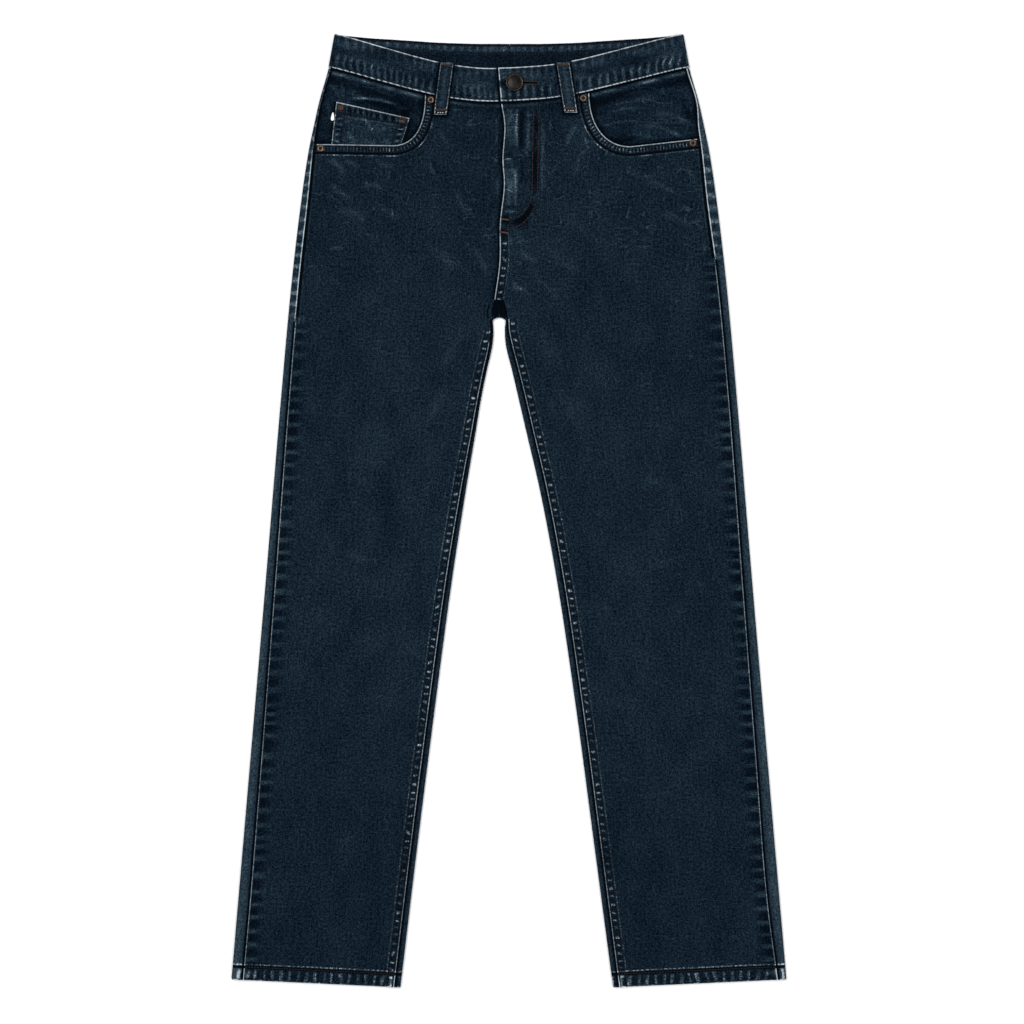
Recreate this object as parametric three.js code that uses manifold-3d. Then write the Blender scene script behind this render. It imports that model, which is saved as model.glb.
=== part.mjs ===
// Slim fit jeans, laid flat on their back with the front up. Sizes are in millimetres.
// +Y runs to the waist, +X to the wearer's left and +Z up. The origin is under the middle of the
// garment, on the surface it lies on. Right and left are always the wearer's.
import * as THREE from "three";
import Module from "manifold-3d";

// ---- Driving dimensions ----

const CLOTH = 1.2; // denim
const BAND = 2.6; // waistband, four layers pressed
const HEM = 2.4; // leg hem, turned twice
const HEM_DEPTH = 16;
const AIR = 0.6; // between layers that lie on each other
const GAP = 0.3; // between pieces that meet at a seam
const CLEAR = 0.4; // over a pocket piece, to the layer above it
const FOLD = 6; // height of a leg's folded side
const BAND_FOLD = 7; // height of the waistband's folded side
const FOLD_EASE = 45; // width over which a folded side falls to the flat layers
const BAND_EASE = 32; // the same along the waistband
const BAND_LEAN = { rise: 1.2, reach: 25 }; // the fronts lift to meet the waistband
const FACING_LEAN = { rise: 1.5, reach: 20 }; // the pocket facings lift to meet the outseam
const SEAM_ROLL = 0.6; // from a seam to where its fold starts to turn
const BAND_Y = 520; // middle of the waistband
const CENTRE_FRONT = -12; // where the fly meets the waistband
const CENTRE_BACK = 1;
const YOKE_DEPTH = 70; // at the centre back
const YOKE_SIDE_Y = 461; // where the yoke seam meets the folded side
const YOKE_SIDE_REACH = 210; // from the middle to where that fold begins
const HIP_Y = 350; // below the pockets
const CROTCH_Y = 238; // where the two fronts and the seat meet
const SEAT_FOLD_Y = 218.1; // lowest point of the seat, folded up between the legs
const SEAT_CORNER = { halfWidth: 7.2, depth: 4.1 }; // rounding of that fold into the inner legs
const FELL = 9.8; // width of the felled inseam
const FELL_RISE = 0.5;
const MOUTH_BAND = 10; // stitched band along a front pocket's mouth
const MOUTH_RISE = 0.5;
const HEM_SLANT = -9; // the hem is lower at the inseam than at the outseam
const HEM_Y = -528.5; // at the outseam
const KNEE_TOP_Y = 187; // below this the sections slant evenly towards the hem

// Half the width over both legs, and how far in from the folded edge each outseam lies.
const SIDES = [
  { y: 539, half: 196.8, right: 2.3, left: 4.0 },
  { y: 500, half: 203.6, right: 2.3, left: 3.6 },
  { y: 462, half: 214.2, right: 2.2, left: 2.8 },
  { y: 434, half: 220.4, right: 3.2, left: 6.8 },
  { y: 407, half: 226.0, right: 5.0, left: 8.6 },
  { y: 351, half: 234.4, right: 7.6, left: 11.0 },
  { y: 260, half: 245.2, right: 8.4, left: 9.6 },
  { y: 125, half: 257.6, right: 9.2, left: 9.2 },
  { y: -79, half: 274.6, right: 10.8, left: 10.8 },
  { y: -282, half: 292.1, right: 12.6, left: 12.8 },
  { y: -440, half: 305.8, right: 13.6, left: 13.9 },
  { y: -530, half: 313.5, right: 13.2, left: 9.7 },
];

// The line midway between the legs, half the gap between them, and how far in each inseam lies.
const INSIDES = [
  { y: 214, mid: -11, gap: 7.2, right: 3.2, left: 3.4 },
  { y: 204, mid: -11, gap: 6.4, right: 3.3, left: 4.6 },
  { y: 187, mid: -11, gap: 7.6, right: 3.8, left: 6.9 },
  { y: 159, mid: -10.7, gap: 14.1, right: 3.7, left: 7.4 },
  { y: 125, mid: -10.2, gap: 21.5, right: 3.6, left: 7.9 },
  { y: 91, mid: -9.0, gap: 28.2, right: 4.2, left: 7.9 },
  { y: 23, mid: -6.8, gap: 41.8, right: 5.4, left: 7.8 },
  { y: -79, mid: -5.1, gap: 59.3, right: 6.5, left: 7.6 },
  { y: -214, mid: -4.0, gap: 78.5, right: 6.8, left: 7.4 },
  { y: -384, mid: -3.4, gap: 100.6, right: 7.0, left: 7.2 },
  { y: -538, mid: -2.4, gap: 120.0, right: 7.2, left: 6.9 },
];

// The free edge of the fly, on the left front.
const FLY = [
  { y: 462, x: -9.0 },
  { y: 436, x: -5.0 },
  { y: 396, x: -7.2 },
  { y: 369, x: -5.5 },
  { y: 326, x: -10.0 },
  { y: 281, x: -10.6 },
  { y: 238, x: -16.3 },
];

// Where the seat's upper end meets the fronts: how far round the fold's corner, and the seam's place
// from the middle line.
const SEAT_SEAM = [
  { turn: 90, out: GAP / 2, y: 237.9 },
  { turn: 60, out: 5.0, y: 237.9 },
  { turn: 30, out: 8.2, y: 227 },
  { turn: 0, out: 10.4, y: 214 },
];

// Edges that run across the waist: height and half width at the side, dip to the middle, fullness.
const WAIST = {
  frontTop: { side: 538.3, half: 197.0, dip: 39.0, power: 1.2, middle: CENTRE_FRONT },
  frontSeam: { side: 500.6, half: 203.8, dip: 38.8, power: 1.2, middle: CENTRE_FRONT },
  backTop: { side: 538.4, half: 197.0, dip: 11.3, power: 0.8, middle: CENTRE_BACK },
  backSeam: { side: 500.6, half: 203.8, dip: 11.3, power: 0.8, middle: CENTRE_BACK },
};

// Front pocket mouths: the top end at the waistband, the belly where the curve runs level, the side end.
const MOUTHS = {
  right: { topX: -94.5, bellyX: -131, bellyY: 412.2, sideY: 413.7, corner: 0.66 },
  left: { topX: 90.5, bellyX: 137, bellyY: 411.2, sideY: 420.0, corner: 0.62 },
};

// Front belt loops: middle of the upper and lower ends.
const FRONT_LOOPS = {
  right: { topX: -69.8, topY: 506.2, lowX: -77.6, lowY: 446.9 },
  left: { topX: 60.9, topY: 506.2, lowX: 70.0, lowY: 449.3 },
};
const LOOP = { width: 14.5, thick: 2.2, backThick: 1.6, below: 12 };
const BACK_LOOPS = { back_right: -118, centre: CENTRE_BACK, back_left: 118 };

const COIN = {
  topOuter: [-194.6, 461.9],
  topInner: [-112.1, 443.2],
  lowOuter: [-201.2, 405.0],
  lowInner: [-124.3, 405.0],
  thick: 1.0,
  hem: 0.3,
};
const TAB = { x: -199.2, y: 445, width: 4, length: 9, thick: 1 };
const BACK_POCKET = {
  x: 118,
  top: 412,
  height: 150,
  width: 140,
  taper: 8,
  tip: 24,
  thick: 1.1,
  tilt: 0.03,
};
const BUTTON = { x: 6.4, y: 482.4, radius: 10, height: 3.2, rim: 1.4, shank: 4, hole: 4.6 };
const KEYHOLE = { end: 33, width: 2.6 };
const ZIP = { top: 455, bottom: 276, left: 4, width: 26 };
const RIVET = { radius: 4, height: 1.5, fromSide: 8, fromMouth: 6.5, fromBand: 8 };
const UNDERLAP_END = 20; // the right end of the waistband, hidden under the left
const FLY_FLAP = 10.5; // strip of the left front that lies over the right one
const FLY_UNDER = 3; // strip of the right front under it
const FLY_LIFT = { low: 16, ease: 30, past: 12, zipEnd: 250, zipEase: 18 }; // width of the lifted cloth

// ---- Curves from the tables ----

const clamp01 = (t) => Math.min(1, Math.max(0, t));
const smooth = (t) => clamp01(t) ** 2 * (3 - 2 * clamp01(t));
const lerp = THREE.MathUtils.lerp;
const fall = (t) => (1 - clamp01(t)) ** 2; // 1 at a seam, easing to 0

/** One column of a table as a smooth curve of y; the rows run down from the waist. */
function column(rows, key) {
  const last = rows.length - 1;
  const rate = (i) => (rows[i + 1][key] - rows[i][key]) / (rows[i + 1].y - rows[i].y);
  const tangent = (i) => (i === 0 ? rate(0) : i === last ? rate(last - 1) : (rate(i - 1) + rate(i)) / 2);
  return (y) => {
    let i = 0;
    while (i < last - 1 && y < rows[i + 1].y) i++;
    const step = rows[i + 1].y - rows[i].y;
    const t = clamp01((y - rows[i].y) / step);
    const [a, b] = [rows[i][key], rows[i + 1][key]];
    const [ta, tb] = [tangent(i) * step, tangent(i + 1) * step];
    return a + t * (ta + t * (3 * (b - a) - 2 * ta - tb + t * (2 * (a - b) + ta + tb)));
  };
}

const halfWidth = column(SIDES, "half");
const middle = column(INSIDES, "mid");
const halfGap = column(INSIDES, "gap");
const flyX = column(FLY, "x");
const outseam = { right: column(SIDES, "right"), left: column(SIDES, "left") };
const inseam = { right: column(INSIDES, "right"), left: column(INSIDES, "left") };

/** Height at x of an edge that runs across the waist. */
function across(edge, x) {
  const away = x < edge.middle ? edge.half + x : edge.half - x;
  const reach = x < edge.middle ? edge.half + edge.middle : edge.half - edge.middle;
  return edge.side - edge.dip * Math.sin((Math.PI / 2) * clamp01(away / reach)) ** edge.power;
}

/** How far inside the outseam a point lies. */
function fromOutseam(side, x, y) {
  return halfWidth(y) - outseam[side.name](y) - side.sign * x;
}

/** How far a point lies from the inseam, or above the crotch from the seams' meeting point. */
function fromInseam(side, x, y) {
  const out = side.sign * (x - middle(y));
  if (y < SEAT_FOLD_Y) return out - halfGap(y) - inseam[side.name](y);
  return Math.hypot(Math.max(0, out - SEAT_SEAM[1].out), Math.max(0, y - CROTCH_Y));
}

// ---- How the layers lie ----

/** 1 over a box, easing to 0 past a margin round it. */
function over(x, y, box) {
  const dx = Math.max(0, Math.abs(x - box.x) - box.halfX - box.margin);
  const dy = Math.max(0, Math.abs(y - box.y) - box.halfY - box.margin);
  return 1 - smooth(Math.hypot(dx, dy) / box.ease);
}

const UNDER_PIECES = [
  ...[-1, 1].map((sign) => ({
    x: sign * BACK_POCKET.x,
    y: BACK_POCKET.top - BACK_POCKET.height / 2,
    halfX: BACK_POCKET.width / 2,
    halfY: BACK_POCKET.height / 2,
    margin: 10,
    ease: 32,
    lift: BACK_POCKET.thick + GAP,
  })),
  ...Object.values(BACK_LOOPS).map((x) => ({
    x,
    y: 509,
    halfX: LOOP.width / 2,
    halfY: 30,
    margin: 5,
    ease: 26,
    lift: LOOP.backThick + GAP,
  })),
];

/** Underside of the back layer: on the floor, but for the pockets and loops that lie under it. */
const rest = (x, y) => Math.max(...UNDER_PIECES.map((box) => box.lift * over(x, y, box)));

const FACING_BOXES = {
  right: { x: -165, y: 455, halfX: 72, halfY: 57, margin: 4, ease: 34 },
  left: { x: 165, y: 455, halfX: 76, halfY: 57, margin: 4, ease: 34 },
};
const COIN_BOX = { x: -160, y: 430, halfX: 42, halfY: 25, margin: 4, ease: 30 };

const facingLow = (side, x, y) =>
  rest(x, y) + CLOTH + AIR + FACING_LEAN.rise * fall(fromOutseam(side, x, y) / FACING_LEAN.reach);
const coinLow = (x, y) => facingLow(RIGHT, x, y) + CLOTH + AIR;

/** Underside of a leg front. */
function frontLow(side, x, y) {
  const base = CLOTH + AIR;
  const edge = Math.min(fromOutseam(side, x, y), fromInseam(side, x, y));
  const onEdges = base + (FOLD - CLOTH - base) * fall(edge / FOLD_EASE);
  const facingTop = facingLow(side, x, y) - rest(x, y) + CLOTH;
  const facing = over(x, y, FACING_BOXES[side.name]);
  const onFacing = (facingTop + CLEAR) * facing;
  const coin = side.name === "right" ? over(x, y, COIN_BOX) : 0;
  const onCoin = (facingTop + AIR + COIN.thick + CLEAR) * coin;
  const belowBand = across(WAIST.frontSeam, x) - y;
  const lean = BAND_LEAN.rise * fall(belowBand / BAND_LEAN.reach) * (1 - facing);
  return rest(x, y) + Math.max(onEdges, onFacing, onCoin) + lean;
}

/** The left front lies over the edge of the right one and over the zip. */
function leftFrontLift(x, y) {
  const overZip = smooth((y - FLY_LIFT.zipEnd) / FLY_LIFT.zipEase);
  const width = lerp(FLY_LIFT.low, ZIP.left + ZIP.width + FLY_LIFT.past, overZip);
  return (CLOTH + CLEAR) * (1 - smooth((x - flyX(y) - width) / FLY_LIFT.ease));
}

/** Underside of the front half of the waistband. */
function bandLow(side, x) {
  const atFold = fall((WAIST.frontTop.half - Math.abs(x)) / BAND_EASE);
  const low = rest(x, BAND_Y) + BAND + AIR + (BAND_FOLD - BAND - BAND - AIR) * atFold;
  const lapped = side.name === "left" ? 1 - smooth((x - UNDERLAP_END - 2) / BAND_EASE) : 0;
  return low + (BAND + AIR) * lapped;
}

// ---- Cloth walls ----

/** A point of cloth: its place on the wall's outer face and on its inner face. */
const clothPoint = (x, y, low, thick) => ({
  out: new THREE.Vector3(x, y, low + thick),
  in: new THREE.Vector3(x, y, low),
});

/** A closed wall over rows of cloth points; a null leaves that part of the sheet out. */
function wall(rows) {
  const positions = [];
  const ids = rows.map((row) =>
    row.map((point) => {
      if (!point) return null;
      positions.push(...point.out.toArray(), ...point.in.toArray());
      return positions.length / 3 - 2;
    }),
  );
  const faces = [];
  for (let r = 0; r + 1 < ids.length; r++)
    for (let c = 0; c + 1 < ids[r].length; c++) {
      const corners = [ids[r][c], ids[r][c + 1], ids[r + 1][c + 1], ids[r + 1][c]];
      if (corners.includes(null)) continue;
      faces.push([corners[0], corners[1], corners[2]], [corners[0], corners[2], corners[3]]);
    }
  const edges = new Map();
  for (const face of faces)
    face.forEach((a, k) => edges.set(a + ">" + face[(k + 1) % 3], [a, face[(k + 1) % 3]]));
  const index = [];
  for (const [a, b, c] of faces) index.push(a, b, c, c + 1, b + 1, a + 1);
  for (const [a, b] of edges.values())
    if (!edges.has(b + ">" + a)) index.push(b, a, a + 1, b, a + 1, b + 1);
  return facingOut(positions, index);
}

/** A closed mesh with its faces turned to point out. */
function facingOut(positions, index) {
  const geometry = new THREE.BufferGeometry();
  geometry.setAttribute("position", new THREE.Float32BufferAttribute(positions, 3));
  const corner = (i) => new THREE.Vector3().fromArray(positions, 3 * i);
  let volume = 0;
  for (let i = 0; i < index.length; i += 3)
    volume += corner(index[i]).dot(corner(index[i + 1]).cross(corner(index[i + 2])));
  if (volume < 0) index.reverse();
  geometry.setIndex(index);
  geometry.computeVertexNormals();
  return geometry;
}

/** Cloth points round a folded edge, from the seam on the upper layer to the lower layer. */
function foldOver(station, height, thick, steps = 5) {
  const radius = height / 2;
  const reach = station.seam.distanceTo(station.edge);
  const place = (distance, z) => {
    const at = station.edge.clone().addScaledVector(station.inward, distance);
    return new THREE.Vector3(at.x, at.y, z);
  };
  const onArc = (angle, r) => place(radius - r * Math.cos(angle), radius + r * Math.sin(angle));
  const start = Math.acos(Math.max(0, 1 - (reach - SEAM_ROLL) / radius));
  const points = [];
  if (reach > radius)
    points.push({
      out: new THREE.Vector3(station.seam.x, station.seam.y, height),
      in: new THREE.Vector3(station.seam.x, station.seam.y, height - thick),
    });
  else {
    const angle = Math.acos(1 - reach / radius);
    points.push({ out: onArc(angle, radius), in: onArc(angle, radius - thick) });
  }
  for (let k = 0; k <= steps; k++) {
    const angle = lerp(start, -Math.PI / 2, k / steps);
    points.push({ out: onArc(angle, radius), in: onArc(angle, radius - thick) });
  }
  return points;
}

// ---- Sections of a leg ----

const RIGHT = { name: "right", sign: -1 };
const LEFT = { name: "left", sign: 1 };

/** The folded edge at the outseam, with the direction into the cloth. */
function outerStation(side, y, towards) {
  const edge = new THREE.Vector2(side.sign * halfWidth(y), y);
  const inward = towards.clone().sub(edge).normalize();
  return { edge, inward, seam: edge.clone().addScaledVector(inward, outseam[side.name](y)) };
}

/** A section of a leg below the crotch, given where it meets the outer and inner edges. */
function legSection(side, yOuter, yInner) {
  const edge = new THREE.Vector2(middle(yInner) + side.sign * halfGap(yInner), yInner);
  const outer = outerStation(side, yOuter, edge);
  const inward = outer.inward.clone().negate();
  const seam = edge.clone().addScaledVector(inward, inseam[side.name](yInner));
  return { outer, inner: { edge, inward, seam } };
}

/** A section that ends on the corner of the seat's fold. */
function cornerSection(side, yOuter, row) {
  const turn = THREE.MathUtils.degToRad(row.turn);
  const { halfWidth: a, depth: b } = SEAT_CORNER;
  const x = Math.max(GAP / 2, a * Math.cos(turn));
  const edge = new THREE.Vector2(
    middle(SEAT_FOLD_Y) + side.sign * x,
    SEAT_FOLD_Y - b + b * Math.sin(turn),
  );
  const inward = new THREE.Vector2((side.sign * Math.cos(turn)) / a, Math.sin(turn) / b).normalize();
  const seam = new THREE.Vector2(middle(row.y) + side.sign * row.out, row.y);
  return { outer: outerStation(side, yOuter, edge), inner: { edge, inward, seam } };
}

const CORNER_OUTER_Y = [260, 250, 238, 225];
const LEG_Y = [209, 198, KNEE_TOP_Y, 159, 125, 80, 20, -70, -170, -280, -390, -470];

/** Sections from just under the crotch to the hem. */
function legSections(side) {
  const hems = [HEM_DEPTH + 2, HEM_DEPTH, 0].map((up) => HEM_Y + up);
  return [...LEG_Y, ...hems].map((y) => {
    const slant = HEM_SLANT * clamp01((KNEE_TOP_Y - y) / (KNEE_TOP_Y - HEM_Y));
    const section = legSection(side, y, y + slant);
    section.hemmed = y <= HEM_Y + HEM_DEPTH;
    return section;
  });
}

/** x of the centre back seam. */
const centreBack = (y) =>
  lerp(middle(SEAT_FOLD_Y), CENTRE_BACK, clamp01((y - SEAT_FOLD_Y) / (500 - SEAT_FOLD_Y)));

/** Height of the yoke seam at x. */
function yokeSeam(x) {
  const centreY = WAIST.backSeam.side - WAIST.backSeam.dip - YOKE_DEPTH;
  const centreX = centreBack(centreY);
  const reach = YOKE_SIDE_REACH - Math.sign(x - centreX) * centreX;
  return lerp(centreY, YOKE_SIDE_Y, clamp01(Math.abs(x - centreX) / reach));
}

// ---- Backs ----

/** A point of the lower layer, whose outer face is its underside. */
function underPoint(x, y, thick) {
  const low = rest(x, y);
  return { out: new THREE.Vector3(x, y, low), in: new THREE.Vector3(x, y, low + thick) };
}

/** Points of the lower layer between two ends. */
function lowerLayer(from, to, count, thick) {
  const points = [];
  for (let k = 1; k < count; k++) {
    const at = from.clone().lerp(to, k / count);
    points.push(underPoint(at.x, at.y, thick));
  }
  return points;
}

const flat = (v) => new THREE.Vector2(v.x, v.y);

function backPanel(side) {
  const columns = 10;
  const seatY = [
    { outer: YOKE_SIDE_Y - GAP, inner: yokeSeam(CENTRE_BACK) - GAP },
    { outer: 440, inner: 400 },
    { outer: 420, inner: 382 },
    { outer: 398, inner: 362 },
    { outer: 374, inner: 342 },
    { outer: 348, inner: 320 },
    { outer: 322, inner: 298 },
    { outer: 298, inner: 276 },
    { outer: 276, inner: 250 },
  ];
  const rows = seatY.map(({ outer, inner }, r) => {
    const end = new THREE.Vector2(centreBack(inner) + (side.sign * GAP) / 2, inner);
    const fold = foldOver(outerStation(side, outer, end), FOLD, CLOTH);
    const layer = lowerLayer(flat(fold.at(-1).out), end, columns, CLOTH);
    layer.push(underPoint(end.x, end.y, CLOTH));
    if (r === 0) for (const point of layer) point.out.y = point.in.y = yokeSeam(point.out.x) - GAP;
    return [...fold, ...layer, ...Array(6).fill(null)];
  });
  const corners = SEAT_SEAM.map((row, k) => cornerSection(side, CORNER_OUTER_Y[k], row));
  for (const section of [...corners, ...legSections(side)]) {
    const thick = section.hemmed ? HEM : CLOTH;
    const outerFold = foldOver(section.outer, FOLD, thick);
    const innerFold = foldOver(section.inner, FOLD, thick).reverse();
    const layer = lowerLayer(flat(outerFold.at(-1).out), flat(innerFold[0].out), columns, thick);
    rows.push([...outerFold, ...layer, ...innerFold]);
  }
  return wall(rows);
}

const YOKE_COLUMNS = 16;

function yoke(side) {
  const rows = [0, 0.15, 0.3, 0.5, 0.75, 1].map((down) => {
    const yOuter = lerp(WAIST.backSeam.side - 4 * GAP, YOKE_SIDE_Y, down);
    const top = across(WAIST.backSeam, CENTRE_BACK) - GAP;
    const yInner = lerp(top, yokeSeam(CENTRE_BACK), down);
    const end = new THREE.Vector2(centreBack(yInner) + (side.sign * GAP) / 2, yInner);
    const fold = foldOver(outerStation(side, yOuter, end), FOLD, CLOTH);
    const from = flat(fold.at(-1).out);
    const layer = [];
    for (let k = 1; k <= YOKE_COLUMNS; k++) {
      const x = lerp(from.x, end.x, k / YOKE_COLUMNS);
      const y = lerp(across(WAIST.backSeam, x) - GAP, yokeSeam(x), down);
      layer.push(underPoint(x, y, CLOTH));
    }
    return [...fold, ...layer];
  });
  return wall(rows);
}

// ---- Fronts ----

/** The pocket mouth from the outseam (0) to the waistband (1). */
function mouthCurve(side) {
  const m = MOUTHS[side.name];
  const topY = across(WAIST.frontSeam, m.topX) - GAP;
  const sideX = side.sign * (halfWidth(m.sideY) - outseam[side.name](m.sideY) - GAP);
  const path = new THREE.CurvePath();
  path.add(new THREE.LineCurve(new THREE.Vector2(sideX, m.sideY), new THREE.Vector2(m.bellyX, m.bellyY)));
  path.add(
    new THREE.CubicBezierCurve(
      new THREE.Vector2(m.bellyX, m.bellyY),
      new THREE.Vector2(lerp(m.bellyX, m.topX, m.corner), m.bellyY),
      new THREE.Vector2(m.topX, lerp(topY, m.bellyY, m.corner)),
      new THREE.Vector2(m.topX, topY),
    ),
  );
  return path;
}

const MOUTH_SHARE = 0.7; // of a front's columns, the ones that run up to its pocket mouth

/** A line parallel to the top of a front, moved down into the cloth. */
function frontTopLine(side, share, down, endX) {
  const mouth = mouthCurve(side);
  if (share > MOUTH_SHARE) {
    const x = lerp(MOUTHS[side.name].topX, endX, (share - MOUTH_SHARE) / (1 - MOUTH_SHARE));
    return new THREE.Vector2(x, across(WAIST.frontSeam, x) - GAP - down);
  }
  const t = share / MOUTH_SHARE;
  const point = mouth.getPointAt(t);
  const tangent = mouth.getTangentAt(Math.min(t, 0.999));
  const inward = new THREE.Vector2(side.sign * -tangent.y, side.sign * tangent.x);
  if (t === 1) inward.set(-side.sign, -1);
  return point.addScaledVector(inward, down);
}

const FRONT_SHARES = [0, 0.07, 0.15, 0.25, 0.36, 0.44, 0.5, 0.56, 0.62, 0.7, 0.8, 0.9];
const FELL_STEPS = [FELL + 1.6, FELL, 0];

/** Inner boundary of a front above the crotch; the left front's flap starts from it. */
const frontInnerX = (side, y) => {
  if (side === LEFT) return flyX(y) + FLY_FLAP;
  return flyX(y) + FLY_UNDER * smooth((y - CROTCH_Y - 2) / 8) - GAP / 3;
};

function frontPanel(side) {
  const rows = [];
  const addRow = (line, thick, withFlap) => {
    const point = (at, extra) => {
      const lift = side === LEFT ? leftFrontLift(at.x, at.y) : 0;
      let low = frontLow(side, at.x, at.y) + lift;
      if (thick === HEM) low = Math.max(low - (HEM - CLOTH) * 0.75, HEM + GAP);
      return clothPoint(at.x, at.y, low, thick + extra);
    };
    const row = line.map(({ at, extra }) => point(at, extra));
    const end = line.at(-1).at;
    if (side === LEFT)
      for (const out of [FLY_FLAP / 2, FLY_FLAP])
        row.push(withFlap ? point(new THREE.Vector2(end.x - out, end.y), 0) : null);
    rows.push(row);
  };
  const straight = (a, b, felled) => {
    const along = b.clone().sub(a).normalize();
    return [
      ...FRONT_SHARES.map((share) => ({ at: a.clone().lerp(b, share), extra: 0 })),
      ...FELL_STEPS.map((back, k) => ({
        at: b.clone().addScaledVector(along, -back),
        extra: felled && k > 0 ? FELL_RISE : 0,
      })),
    ];
  };
  const hip = straight(
    new THREE.Vector2(side.sign * (halfWidth(HIP_Y) - outseam[side.name](HIP_Y) - GAP), HIP_Y),
    new THREE.Vector2(frontInnerX(side, HIP_Y), HIP_Y),
    false,
  );
  const tops = [
    { down: 0, towardsHip: 0, band: true },
    { down: MOUTH_BAND - 1, towardsHip: 0, band: true },
    { down: MOUTH_BAND + 0.5, towardsHip: 0, band: false },
    { down: MOUTH_BAND + 0.5, towardsHip: 0.3, band: false },
    { down: MOUTH_BAND + 0.5, towardsHip: 0.62, band: false },
  ];
  for (const { down, towardsHip, band } of tops) {
    const innerY = across(WAIST.frontSeam, CENTRE_FRONT) - GAP - down;
    const endX = frontInnerX(side, innerY);
    const line = hip.map(({ at }, k) => {
      const share = FRONT_SHARES[k] ?? 1;
      const back = FELL_STEPS[k - FRONT_SHARES.length] ?? 0;
      const top = frontTopLine(side, share, down, endX);
      if (share === 1) top.x += side.sign * back;
      return { at: top.lerp(at, towardsHip), extra: band && share <= MOUTH_SHARE ? MOUTH_RISE : 0 };
    });
    const first = line[0].at;
    first.x = side.sign * (halfWidth(first.y) - outseam[side.name](first.y) - GAP);
    const slip = frontInnerX(side, line.at(-1).at.y) - line.at(-1).at.x;
    for (const item of line.slice(-FELL_STEPS.length)) item.at.x += slip;
    addRow(line, CLOTH, true);
  }
  addRow(hip, CLOTH, true);
  for (const y of [320, 290, 268, 252, CROTCH_Y + GAP]) {
    const yOuter = lerp(HIP_Y, 250, (HIP_Y - y) / (HIP_Y - CROTCH_Y - GAP));
    const end = new THREE.Vector2(frontInnerX(side, y), y);
    const { seam, inward } = outerStation(side, yOuter, end);
    addRow(straight(seam.clone().addScaledVector(inward, GAP), end, false), CLOTH, true);
  }
  const corners = SEAT_SEAM.slice(2).map((row, k) => cornerSection(side, CORNER_OUTER_Y[k + 2], row));
  for (const section of [...corners, ...legSections(side)]) {
    const { outer, inner } = section;
    const a = outer.seam.clone().addScaledVector(outer.inward, GAP);
    const b = inner.seam.clone().addScaledVector(outer.inward, -GAP);
    addRow(straight(a, b, true), section.hemmed ? HEM : CLOTH, false);
  }
  return wall(rows);
}

// ---- Pocket facings, coin pocket and its tab ----

function facing(side) {
  const m = MOUTHS[side.name];
  const behind = 14; // past the mouth, under the front
  const rows = [];
  for (const v of [0, 0.25, 0.5, 0.75, 1]) {
    const row = [];
    for (let u = 0; u <= 12; u++) {
      const share = u / 12;
      const topX = lerp(side.sign * (halfWidth(500) - outseam[side.name](500) - GAP), m.topX, share);
      const top = new THREE.Vector2(topX, across(WAIST.frontSeam, topX) - GAP);
      const low = frontTopLine(side, share * MOUTH_SHARE, behind, 0);
      low.y = Math.min(low.y, across(WAIST.frontSeam, low.x) - GAP);
      const at = top.lerp(low, v);
      if (u === 0) at.x = side.sign * (halfWidth(at.y) - outseam[side.name](at.y) - GAP);
      row.push(clothPoint(at.x, at.y, facingLow(side, at.x, at.y), CLOTH));
    }
    rows.push(row);
  }
  return wall(rows);
}

function coinPocket() {
  const corner = (key) => new THREE.Vector2(...COIN[key]);
  const rows = [0, 0.17, 0.2, 0.5, 0.75, 1].map((v) => {
    const row = [];
    for (let u = 0; u <= 6; u++) {
      const top = corner("topOuter").lerp(corner("topInner"), u / 6);
      const at = top.lerp(corner("lowOuter").lerp(corner("lowInner"), u / 6), v);
      row.push(clothPoint(at.x, at.y, coinLow(at.x, at.y), COIN.thick + (v < 0.18 ? COIN.hem : 0)));
    }
    return row;
  });
  return wall(rows);
}

function coinTab() {
  const tab = new THREE.BoxGeometry(TAB.width, TAB.length, TAB.thick);
  tab.translate(TAB.x, TAB.y, coinLow(TAB.x, TAB.y) + TAB.thick / 2);
  return tab;
}

// ---- Back pockets ----

function backPocket(side) {
  const { width, height, taper, tip, thick, tilt, x, top } = BACK_POCKET;
  const shape = new THREE.Shape();
  shape.moveTo(-width / 2, 0);
  shape.lineTo(width / 2, 0);
  shape.lineTo(width / 2 - taper, tip - height);
  shape.lineTo(0, -height);
  shape.lineTo(taper - width / 2, tip - height);
  shape.closePath();
  const pocket = new THREE.ExtrudeGeometry(shape, { depth: thick, bevelEnabled: false });
  return pocket.rotateZ(side.sign * tilt).translate(side.sign * x, top, 0);
}

// ---- Waistband ----

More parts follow.
